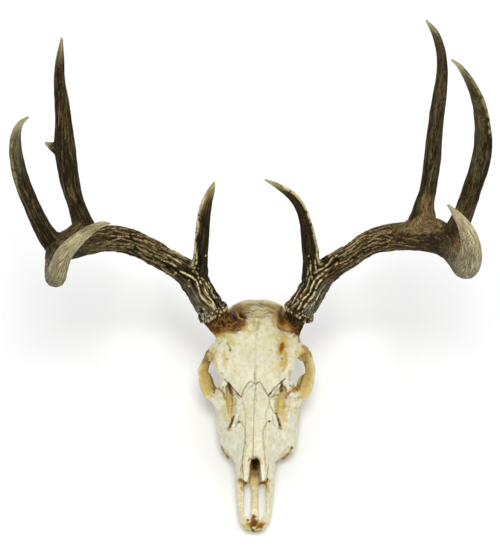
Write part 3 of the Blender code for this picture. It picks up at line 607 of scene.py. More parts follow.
def limb_growth(side, name, limb, points):
    """Height of the bark, in millimetres, and the masks its colours follow, all round one limb."""
    along, angle, radius, away = limb.locate(points)
    from_point = limb.length - along
    seed = sum(map(ord, side + name))
    twisted = angle + rough(lanes(angle, along, *WANDER_LANES), 1.0, seed) * TWIST
    fine_lane = lanes(twisted, along, *FINE_LANES)
    wide = rough(lanes(twisted, along, *WIDE_LANES), 1.0, seed + 1)
    fine = rough(fine_lane, 1.0, seed + 2)
    groove, fine_groove = peak(wide, 0.12), peak(fine, 0.15)

    nowhere = np.zeros(len(points))
    pale, bright, lower = nowhere, nowhere, nowhere
    pale_length = PALE_LENGTH[name]
    if pale_length:
        rubbed = from_point + rough(points, 22, seed) * 9 + wide * 10 + fine * 8
        pale = fade(rubbed, pale_length * 1.5, pale_length * 0.1)
        bright = fade(rubbed, pale_length * 0.95, pale_length * 0.15)
    if name in LOWER_PART:
        lower = fade(along, *LOWER_PART[name])
    tan, cream = TAN_SHARE[name] + nowhere, nowhere + (name == "brow")
    if name == "beam":
        tan = tan * (1 - 0.5 * fade(along, 84, 60))
        cream = fade(along, 90, 62)

    depth = GROOVE_DEPTH[name] * (0.45 + 0.55 * fade(along, 260, 60)) * (1 - 0.85 * pale)
    depth *= np.clip(radius / FULL_RADIUS, 0.25, 1)
    height = depth * (0.45 * wide - 0.85 * groove - 0.42 * fine_groove + 0.22 * fine)
    lumpy = (0.4 + lower) * np.clip(radius / FULL_RADIUS, 0.2, 1) * (1 - pale)
    height += 0.7 * rough(points, 9, seed + 3) * lumpy
    height += 0.3 * rough(points, 2.7, seed + 8) * (0.3 + 0.7 * lower) * (1 - pale)
    rise, line = raised_lines(RIDGE_LINES[side].get(name, ()), along, angle, radius, points)
    return {
        "height": height + rise,
        "groove": np.clip(groove + 0.45 * fine_groove, 0, 1) * (1 - 0.8 * pale),
        "wide": wide, "fine": fine, "pale": pale, "bright": bright, "lower": lower, "line": line,
        "tan": tan, "cream": cream, "grain": fine_lane,
        "along": along, "angle": angle, "radius": radius, "away": away, "from_point": from_point,
    }


def burr_pearls(limb, chance):
    """The ring of pearls round the foot of a beam, in two rows."""
    lumps = []
    for count, rise, out, low, high in BURR_ROWS:
        for i in range(count):
            if chance.random() < MISSING:
                continue
            angle = (i + chance.uniform(-0.3, 0.3)) * math.tau / count
            spot = limb.spot(max(0.6, rise + chance.uniform(-1.1, 1.1)), angle, out)
            lumps.append(pearl(spot, chance.uniform(low, high)))
    return lumps


def beam_pearls(limbs, chance):
    """Small pearls scattered over the lower beam and the foot of the brow tine."""
    lumps = []
    for name, start, end, count in PEARL_FIELDS:
        for _ in range(count):
            along = start + (end - start) * chance.random() ** 1.4
            spot = limbs[name].spot(along, chance.uniform(-math.pi, math.pi), chance.uniform(-0.6, 0.0))
            lumps.append(pearl(spot, chance.uniform(*BEAM_PEARL)))
    return lumps


def pearl_places(lumps):
    """The middle and size of each lump, before they are joined."""
    places = []
    for lump in lumps:
        points = points_of(lump)
        places.append((*points.mean(axis=0), np.ptp(points[:, 0]) / 2))
    return np.array(places)


def pearl_mask(points, places):
    """Rises to 1 on the tops of the pearls."""
    mask = np.zeros(len(points))
    for x, y, z, size in places:
        near = ((points - (x, y, z)) ** 2).sum(axis=1)
        mask = np.maximum(mask, np.exp(-near / (size * 1.15) ** 2) * 1.35)
    return np.clip(mask, 0, 1)


def antler(side):
    """One antler, grown over its CAD lengths and tines in a single mesh."""
    chance = random.Random(f"{side} antler")
    limbs = {"beam": Limb(BEAMS[side], BURR)}
    limbs.update({name: Limb(stations) for name, stations in TINES[side].items()})
    lumps = burr_pearls(limbs["beam"], chance) + beam_pearls(limbs, chance)
    places = pearl_places(lumps)
    parts = [limb.mesh(name) for name, limb in limbs.items()]
    body = join(f"antler_{side}", parts + lumps)
    remesh(body, ANTLER_VOXEL)

    points = points_of(body)
    found = [limb.locate(points) for limb in limbs.values()]
    ranked = np.sort([away - radius for _, _, radius, away in found], axis=0)
    fork = peak(ranked[1] - ranked[0], FORK_REACH) * fade(ranked[0], 6, 3)
    relax(body, 3, 0.6)
    smooth_forks(body, fork)

    points = points_of(body)
    grown = {name: limb_growth(side, name, limb, points) for name, limb in limbs.items()}
    values = mixed_growth(list(grown.values()))
    pearls = pearl_mask(points, places)
    foot = fade(grown["beam"]["along"], 0.5, 2.5)
    lift = values["height"] * (1 - 0.7 * pearls) * foot
    move_points(body, points + normals_of(body) * lift[:, None])
    paint_antler(body, side, grown, values, pearls, points)
    return body


def smooth_forks(thing, mask):
    """Rounds the hollows where tines leave the beam, and fills them a little."""
    relax(thing, 26, np.clip(mask * 1.2, 0, 1))
    points = points_of(thing)
    move_points(thing, points + normals_of(thing) * (mask * FORK_FILL)[:, None])
    relax(thing, 8, np.clip(mask, 0, 1))


def mixed_growth(grown):
    """The limbs' growth at each point as one, each limb's by how near its surface is."""
    gaps = np.stack([limb["away"] - limb["radius"] for limb in grown])
    shares = np.exp(-(gaps - gaps.min(axis=0)) / LIMB_BLEND)
    shares /= shares.sum(axis=0)
    return {key: sum((limb[key].T * share).T for limb, share in zip(grown, shares)) for key in MIXED}


def paint_antler(body, side, grown, values, pearls, points):
    """Gives every point its colour, its polish and its place along the grain."""
    wide, fine, lower, tan = values["wide"], values["fine"], values["lower"], values["tan"]
    pale, cream, line = values["pale"], values["cream"], values["line"]
    normals = normals_of(body)
    towards = normals @ TO_VIEWER
    # Painted light: the sides that face the viewer and face up take more of the tan and ridge colours.
    lit = fade(towards + normals[:, 2] * 0.6, -0.2, 1.1)
    dapple = rough(points, 2.6, 25)
    paint = Paint(BARK)
    paint.lay(BARK_WARM, np.clip(0.35 + rough(points, 38, 21) * 1.1, 0, 1) * 0.7 * tan)
    paint.lay(BARK_TAN, fade(wide + dapple * 0.2, 0.1, 0.5) * (0.14 + 0.6 * lit) * tan)
    paint.lay(BARK_TAN, fade(fine + dapple * 0.2, 0.12, 0.5) * (0.1 + 0.42 * lit) * tan)
    crest = fade(fine + wide * 0.5, 0.22, 0.6) * lower * cloud(points, 9, 22, -0.25, 0.35)
    paint.lay(RIDGE_TAN, crest * 0.8 * tan * (0.4 + 0.6 * lit))

    beam = grown["beam"]
    ragged = rough(points, 5, 23) * 0.5 + dapple * 0.4
    near = np.abs(beam["away"] - beam["radius"]) < ON_SURFACE
    for at, angle, half_length, half_width, tone, share in PATCHES[side]:
        u = (beam["along"] - at) / half_length
        v = wrapped(beam["angle"] - angle) * beam["radius"] / half_width
        paint.lay(tone, share * fade(u * u + v * v + ragged, 1.25, 0.45) * near)

    paint.lay(TIP_OLIVE, pale * 0.9)
    paint.lay(TIP_CREAM, values["bright"] * 0.8)
    from_point = np.min([
        limb["from_point"] + 60 * (limb["away"] > limb["radius"] + ON_SURFACE)
        for name, limb in grown.items() if name != "web"
    ], axis=0)
    paint.lay(TIP_YELLOW, pale * cream * fade(from_point, 5, 14) * 0.85)

    px, py = pictured(points)
    ragged = rough(points, 7, 26) * 0.5 + fine * 0.5
    for name, x, y, wide_half, high_half, tone, share in PICTURE_PATCHES[side]:
        near = np.abs(grown[name]["away"] - grown[name]["radius"]) < ON_SURFACE
        oval = np.hypot((px - x) / wide_half, (py - y) / high_half) + ragged
        paint.lay(tone, share * fade(oval, 1.3, 0.5) * near * fade(towards, -0.1, 0.3))

    paint.lay(GROOVE, np.clip(values["groove"], 0, 1) * (0.72 + 0.25 * lower))
    paint.lay(BARK_WARM, pale * fade(fine, 0.3, -0.35) * 0.5)
    paint.lay(TIP_CREAM, pale * fade(fine, 0.15, 0.5) * 0.55 * (1 - 0.8 * cream))
    shown = np.clip(line * 1.7 - 0.12, 0, 1) * (1 - 0.4 * pale - 0.5 * pale * cream)
    # Painted light: the ridge lines are lighter on the sides that face the viewer and face up.
    paint.lay(RIDGE_TAN, shown * (1 - cream) * (0.5 + 0.5 * lit))
    paint.lay(RIDGE_CREAM, shown * cream)
    paint.lay(RIDGE_CREAM, fade(pearls, 0.4, 0.85) * (0.8 + dapple * 0.35))
    put_tint(body, paint.colour)
    put_values(body, "polish", np.clip(pale * 0.8 + line * 0.5 + pearls * 0.5, 0, 1))
    put_values(body, "grain", values["grain"])


# ---- finishes -----------------------------------------------------------------------------------
class Value:
    """What a shader node gives out, with ordinary arithmetic."""

    def __init__(self, finish, socket):
        self.finish, self.socket = finish, socket

    def maths(self, operation, first, second):
        return self.finish.node("ShaderNodeMath", {"operation": operation}, {0: first, 1: second})

    def __add__(self, other):
        return self.maths("ADD", self, other)

    def __radd__(self, other):
        return self.maths("ADD", other, self)

    def __sub__(self, other):
        return self.maths("SUBTRACT", self, other)

    def __rsub__(self, other):
        return self.maths("SUBTRACT", other, self)

    def __mul__(self, other):
        return self.maths("MULTIPLY", self, other)

    def __rmul__(self, other):
        return self.maths("MULTIPLY", other, self)


class Finish:
    """A material and the nodes it is made of."""

    def __init__(self, name):
        self.material = bpy.data.materials.new(name)
        self.material.use_nodes = True
        self.tree = self.material.node_tree
        self.shader = self.tree.nodes["Principled BSDF"]

    def node(self, kind, settings, inputs, output=0):
        """Adds a node with these settings and inputs, and returns one of its outputs."""
        made = self.tree.nodes.new(kind)
        for key, value in settings.items():
            setattr(made, key, value)
        for key, value in inputs.items():
            self.feed(made.inputs[key], value)
        return Value(self, made.outputs[output])

    def feed(self, socket, value):
        if isinstance(value, Value):
            self.tree.links.new(value.socket, socket)
        else:
            socket.default_value = value

    def shade(self, **inputs):
        for key, value in inputs.items():
            self.feed(self.shader.inputs[key.replace("_", " ")], value)
        return self.material

    def stored(self, name, output="Color"):
        return self.node("ShaderNodeAttribute", {"attribute_name": name}, {}, output)

    def place(self):
        return self.node("ShaderNodeTexCoord", {}, {}, "Object")

    def noise(self, place, scale, detail, roughness):
        inputs = {"Vector": place, "Scale": scale, "Detail": detail, "Roughness": roughness}
        return self.node("ShaderNodeTexNoise", {}, inputs)

    def spread(self, value, start, end, low=0.0, high=1.0):
        """A value's part between two ends, held within them."""
        inputs = {0: value, 1: start, 2: end, 3: low, 4: high}
        return self.node("ShaderNodeMapRange", {}, inputs)

    def mix(self, share, under, over, method="MIX"):
        settings = {"data_type": "RGBA", "blend_type": method}
        return self.node("ShaderNodeMix", settings, {0: share, 6: under, 7: over}, 2)

    def toned(self, share, under, tint, factors):
        """Over a share of what is under, the tint times a colour."""
        return self.mix(share, under, self.mix(1.0, tint, (*factors, 1), "MULTIPLY"))

    def bump(self, height, depth):
        """Relief of that many millimetres for heights from 0 to 1."""
        return self.node("ShaderNodeBump", {}, {"Strength": 1.0, "Distance": depth * MM, "Height": height})


def antler_finish(name):
    finish = Finish(name)
    place = finish.place()
    grain = finish.stored("grain", "Vector")
    tint = finish.stored("tint")
    fibres = finish.noise(grain, 3.2, 3.0, 0.6)
    specks = finish.noise(place, 900.0, 2.0, 0.6)
    dark = finish.toned(finish.spread(fibres, 0.45, 0.6, 0.0, 0.72), tint, tint, (0.22, 0.19, 0.14))
    light = finish.toned(finish.spread(fibres, 0.49, 0.34, 0.0, 0.6), dark, tint, (2.2, 2.1, 1.8))
    flecked = finish.toned(finish.spread(specks, 0.56, 0.7, 0.0, 0.35), light, tint, (0.5, 0.45, 0.4))
    height = finish.spread(fibres, 0.3, 0.7) * 0.75 + finish.spread(specks, 0.35, 0.7) * 0.25
    polish = finish.stored("polish", "Fac")
    return finish.shade(
        Base_Color=flecked,
        Specular_IOR_Level=0.04,
        Coat_Weight=finish.spread(polish, 0.1, 0.9, 0.0, 0.35),
        Coat_Roughness=0.38,
        Coat_IOR=1.4,
        Roughness=0.62 - polish * 0.22 + finish.spread(fibres, 0.3, 0.7, -0.06, 0.06),
        Normal=finish.bump(height, 0.32),
    )


# ---- the skull: one surface, later parted into its bones ----------------------------------------
SKULL_NODES = (
    "braincase", "forehead_left", "forehead_right", "nasal_left", "nasal_right", "muzzle_left",
    "muzzle_right", "upper_jaw_left", "upper_jaw_right", "cheek_left", "cheek_right",
)
SKULL_VOXEL = 0.85
JOINT_SWELL = 0.35  # makes neighbouring bones meet over the gaps between them
TOOTH_CUT = 11.8  # the height over the floor at which the jaw's own teeth are cut off
ORBIT = (44.5, 158.0, 64.0)
ORBIT_FACING = unit(np.array((0.8, -0.4, 0.45)))
PEDICLE_FOOT, PEDICLE_HEAD = (27.0, 180.0, 85.0), (44.0, 193.0, 121.0)
# what lengthens the right slot behind the muzzle's tip: its middle, half sizes and turn
SLOT_MIDDLE, SLOT_SIZES, SLOT_TURN = (5.6, 23.0, 10.0), (2.3, 6.5, 24), -0.2
OFF_SKIN = 0.5  # where a look from a point towards the viewer starts
BEYOND = 400  # longer than the skull, so that the look meets all that is in its way
LOOKS_OUT = 14  # how many ways a point about the nose looks for open space
OPEN_START, OPEN_LENGTH = 0.6, 60  # where such a look starts, and how far it goes
ABOUT_NOSE = (14, 26, 140, 12)  # how far out, from and to how far back, and over what height
NEAR_BONE = 30.0  # no bone is looked for farther away than this
BOX_MARGIN = 4.0  # a bone is tried for the points this near its box
FAR_AWAY = 1e9

BONE = (0.675, 0.645, 0.455)
BONE_WHITE = (0.80, 0.785, 0.625)
BONE_YELLOW = (0.68, 0.57, 0.27)
BONE_TAN = (0.50, 0.37, 0.15)
BONE_OLIVE = (0.33, 0.28, 0.12)
BONE_BROWN = (0.17, 0.095, 0.03)
BONE_DARK = (0.035, 0.021, 0.008)
BONE_RUST = (0.42, 0.21, 0.07)


def merged_copy(node):
    """A CAD node's shape as a new object, its triangles joined up and a jaw's own teeth cut off."""
    thing = linked(f"{node}_shape", frame["nodes"][node].data.copy())
    choose(thing)
    bpy.ops.object.mode_set(mode="EDIT")
    bpy.ops.mesh.select_all(action="SELECT")
    bpy.ops.mesh.remove_doubles(threshold=0.00001)
    if node.startswith("upper_jaw"):
        bpy.ops.mesh.bisect(
            plane_co=(0, 0, TOOTH_CUT * MM), plane_no=(0, 0, 1), use_fill=True, clear_inner=True
        )
    bpy.ops.object.mode_set(mode="OBJECT")
    if node == "muzzle_right":
        open_slot(thing)
    return thing


def open_slot(thing):
    """Lengthens the right one of the two slots behind the muzzle's tip."""
    bpy.ops.mesh.primitive_uv_sphere_add(
        segments=20, ring_count=12, radius=MM, location=Vector(world(*SLOT_MIDDLE)) * MM,
        rotation=(0, 0, SLOT_TURN), scale=SLOT_SIZES
    )
    cutter = bpy.context.active_object
    apply(thing, "BOOLEAN", operation="DIFFERENCE", object=cutter, solver="EXACT")
    bpy.data.objects.remove(cutter)


def tree_of(thing):
    """For asking what lies near a place or along a line, in millimetres."""
    faces = [tuple(face.vertices) for face in thing.data.polygons]
    return BVHTree.FromPolygons([Vector(point) for point in points_of(thing)], faces)


class Surface:
    """A mesh's points as arrays, and what sculpting and painting ask of them."""

    def __init__(self, thing):
        self.thing, self.net = thing, Net(thing)
        self.lift = np.zeros(len(thing.data.vertices))
        self.refresh()

    def refresh(self):
        """Works out again all that changes when the points have moved."""
        self.points, self.normals = points_of(self.thing), normals_of(self.thing)
        self.across, self.back, self.up = (self.points - world(0, 0, 0)).T
        self.side = np.abs(self.across)
        self.px, self.py = pictured(self.points)
        self.fray = rough(self.points, 3.5) + 0.6 * rough(self.points, 1.6, 1)
        self.speck = rough(self.points, 1.9, 2)

    def look(self):
        """Notes which points the viewer sees."""
        tree = tree_of(self.thing)
        viewer = VIEW_CENTRE + TO_VIEWER * VIEW_DISTANCE
        starts = self.points + self.normals * OFF_SKIN
        aims = unit(viewer - starts)
        facing = (self.normals * aims).sum(axis=1)
        seen = np.zeros(len(self.points))
        for i in np.nonzero(facing > 0.02)[0]:
            seen[i] = tree.ray_cast(Vector(starts[i]), Vector(aims[i]), BEYOND)[0] is None
        self.seen = self.evened(seen, 1)

    def evened(self, values, rounds):
        """The values, or rows of them, smoothed over the surface."""
        rows = np.atleast_2d(values.T).astype(float)
        for _ in range(rounds):
            rows = np.array([row * 0.4 + 0.6 / self.net.neighbours * self.net.sums(row) for row in rows])
        return rows[0] if values.ndim == 1 else rows.T

    def cloud(self, size, seed, start, end):
        """Random patches on this surface."""
        return cloud(self.points, size, seed, start, end)

    def hollow(self, rounds):
        """How deep each point lies under its surroundings, in millimetres; below 0 on ridges."""
        return ((self.evened(self.points, rounds) - self.points) * self.normals).sum(axis=1)

    def settle(self):
        """Moves the points by the lift gathered so far."""
        points = self.points + self.normals * self.lift[:, None]
        points[:, 2] = np.maximum(points[:, 2], 0.0)
        move_points(self.thing, points)
        self.lift[:] = 0
        self.refresh()

    def blot(self, x, y, wide, high, turn, ragged=0.42):
        """A rough-edged oval of the picture, from 0 outside to 1 in the middle."""
        turn = math.radians(turn)
        u = (self.px - x) * math.cos(turn) + (self.py - y) * math.sin(turn)
        v = (self.py - y) * math.cos(turn) - (self.px - x) * math.sin(turn)
        return fade(np.hypot(u / wide, v / high) + self.fray * ragged, 1.35, 0.5) * self.seen

    def stroke(self, route, width, ragged=0.4, hidden=False):
        """A rough line of the picture along the route, on what the viewer sees or on all."""
        away = np.full(len(self.px), FAR_AWAY)
        for (x1, y1), (x2, y2) in zip(route, route[1:]):
            span = (x2 - x1) ** 2 + (y2 - y1) ** 2
            share = np.clip(((self.px - x1) * (x2 - x1) + (self.py - y1) * (y2 - y1)) / span, 0, 1)
            reach = np.hypot(self.px - x1 - share * (x2 - x1), self.py - y1 - share * (y2 - y1))
            away = np.minimum(away, reach)
        near = fade(away + self.fray * ragged * width, width * 1.4, width * 0.35)
        return near if hidden else near * self.seen

    def ball(self, across, back, up, radius, stretch=(1, 1, 1)):
        """1 at a place on either side of the skull, falling to 0 at the radius."""
        reach = np.sqrt(((self.side - across) / stretch[0]) ** 2 + ((self.back - back) / stretch[1]) ** 2
                        + ((self.up - up) / stretch[2]) ** 2)
        return fade(reach, radius, 0)

    def channel(self, route, width):
        """1 on a line through places on either side of the skull, falling to 0 at the width."""
        away = np.full(len(self.px), FAR_AWAY)
        here = np.stack((self.side, self.back, self.up), axis=1)
        for one, other in zip(route, route[1:]):
            one, other = np.array(one, float), np.array(other, float)
            step = other - one
            share = np.clip((here - one) @ step / step.dot(step), 0, 1)[:, None]
            away = np.minimum(away, np.linalg.norm(here - one - step * share, axis=1))
        return fade(away, width, width * 0.15)


# roofs of the orbits: side, middle and half sizes
ORBIT_ROOFS = [(-1, (46, 175, 71), (9, 6.5, 2)), (1, (46, 175, 71.5), (8, 6.5, 2))]
ROOF_TILT = math.radians(40)

# where the outline is drawn in: side, heights in the picture, then millimetres inward
DRAWN_IN = [
    (-1, (322, 329, 336, 346, 356, 372), (0, 2.6, 5.5, 5.5, 5, 0)),
    (1, (308, 318, 324, 331, 336, 343, 357, 372), (0, 4, 6, 6, 5, 2, 2, 0)),
]
# where the inner edge of an orbit or an upper jaw is drawn out: side, heights, then millimetres outward
DRAWN_OUT = [
    (-1, (352, 357, 362, 369, 376, 384, 390), (0, 4, 6.5, 4.5, 2.5, 2.5, 0)),
    (1, (354, 360, 369, 375, 387), (0, 1, 1.5, 0.5, 0)),
    (1, (398, 408, 420, 432, 444, 452, 458, 465), (0, 3.4, 3.8, 3.2, 4.4, 4.6, 3, 0)),
]
OUTER_PART = ((336, 350), (24, 42))  # heights in the picture, and how far out the sides start there
MIDDLE_PART = (23, 33, 41, 47)  # between the forehead and the cheek's arch
CREST_ACROSS, CREST_REACH = (42, 26), (188, 204, 236, 250)  # where the crest is lowered
CREST_DROP = 3.0
CORNER_AT, CORNER_RAISE = (296, 389), 3.5  # the lower edge of the right orbit, in the picture


def orbit_roof(side, middle, sizes):
    """The thin bone that closes an orbit behind its upper rim."""
    bpy.ops.object.select_all(action="DESELECT")
    place = world(side * middle[0], *middle[1:])
    bpy.ops.mesh.primitive_uv_sphere_add(
        segments=24, ring_count=14, radius=MM, location=Vector(place) * MM,
        rotation=(ROOF_TILT, 0, 0), scale=sizes
    )
    bpy.ops.object.transform_apply(location=True, rotation=True, scale=True)
    return bpy.context.active_object


def draw_edges(whole):
    """Moves the skull's sides in or out by their height in the picture, and lowers its crest."""
    skin = Surface(whole)
    moved = np.zeros(len(skin.points))
    outer = np.interp(skin.py, *OUTER_PART)
    for side, heights, amounts in DRAWN_IN:
        share = fade(skin.side, outer, outer + 9) * (skin.across * side > 0)
        moved -= side * np.interp(skin.py, heights, amounts) * share
    for side, heights, amounts in DRAWN_OUT:
        share = band(skin.side, *MIDDLE_PART) * (skin.across * side > 0)
        moved += side * np.interp(skin.py, heights, amounts) * share
    points = skin.points + moved[:, None] * (1, 0, 0)
    crest = band(skin.back, *CREST_REACH) * fade(skin.side, *CREST_ACROSS) * fade(skin.up, 56, 76)
    points -= (CREST_DROP * crest)[:, None] * VIEW_UP
    corner = fade(np.hypot(skin.px - CORNER_AT[0], skin.py - CORNER_AT[1]), 8, 3)
    corner *= (skin.across > 0) * fade(skin.up, 40, 50)
    points += (corner * CORNER_RAISE)[:, None] * VIEW_UP
    move_points(whole, points)
    relax(whole, 16)


def joined_skull(shapes):
    """All the bones fused and smoothed, at their CAD sizes."""
    for shape in shapes:
        move_points(shape, points_of(shape) + normals_of(shape) * JOINT_SWELL)
    whole = join("skull", shapes + [orbit_roof(*roof) for roof in ORBIT_ROOFS])
    remesh(whole, SKULL_VOXEL)
    relax(whole, 110)
    draw_edges(whole)
    move_points(whole, points_of(whole) - normals_of(whole) * JOINT_SWELL * 0.8)
    return whole


def nearest_bones(points, trees):
    """For each point: the number of its nearest bone, and how much farther off the next one is."""
    distances = np.full((len(trees), len(points)), NEAR_BONE)
    for node, row, tree in zip(SKULL_NODES, distances, trees):
        low, high = (np.array(corner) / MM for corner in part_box(node))
        near = ((points > low - BOX_MARGIN) & (points < high + BOX_MARGIN)).all(axis=1)
        for i in np.nonzero(near)[0]:
            place, _, _, distance = tree.find_nearest(Vector(points[i]), NEAR_BONE)
            if place is not None:
                row[i] = distance
    order = np.argsort(distances, axis=0)[:2]
    ranked = np.take_along_axis(distances, order, axis=0)
    return order[0], ranked[1] - ranked[0]


OCHRE = (0.60, 0.44, 0.16)
WALL = (0.655, 0.505, 0.175)
LINE = (0.20, 0.16, 0.085)
BLACK = (0.010, 0.007, 0.004)
OLD_STAIN = (0.36, 0.215, 0.07)
DEEPER = 1.2  # the power that makes the marks' colours richer
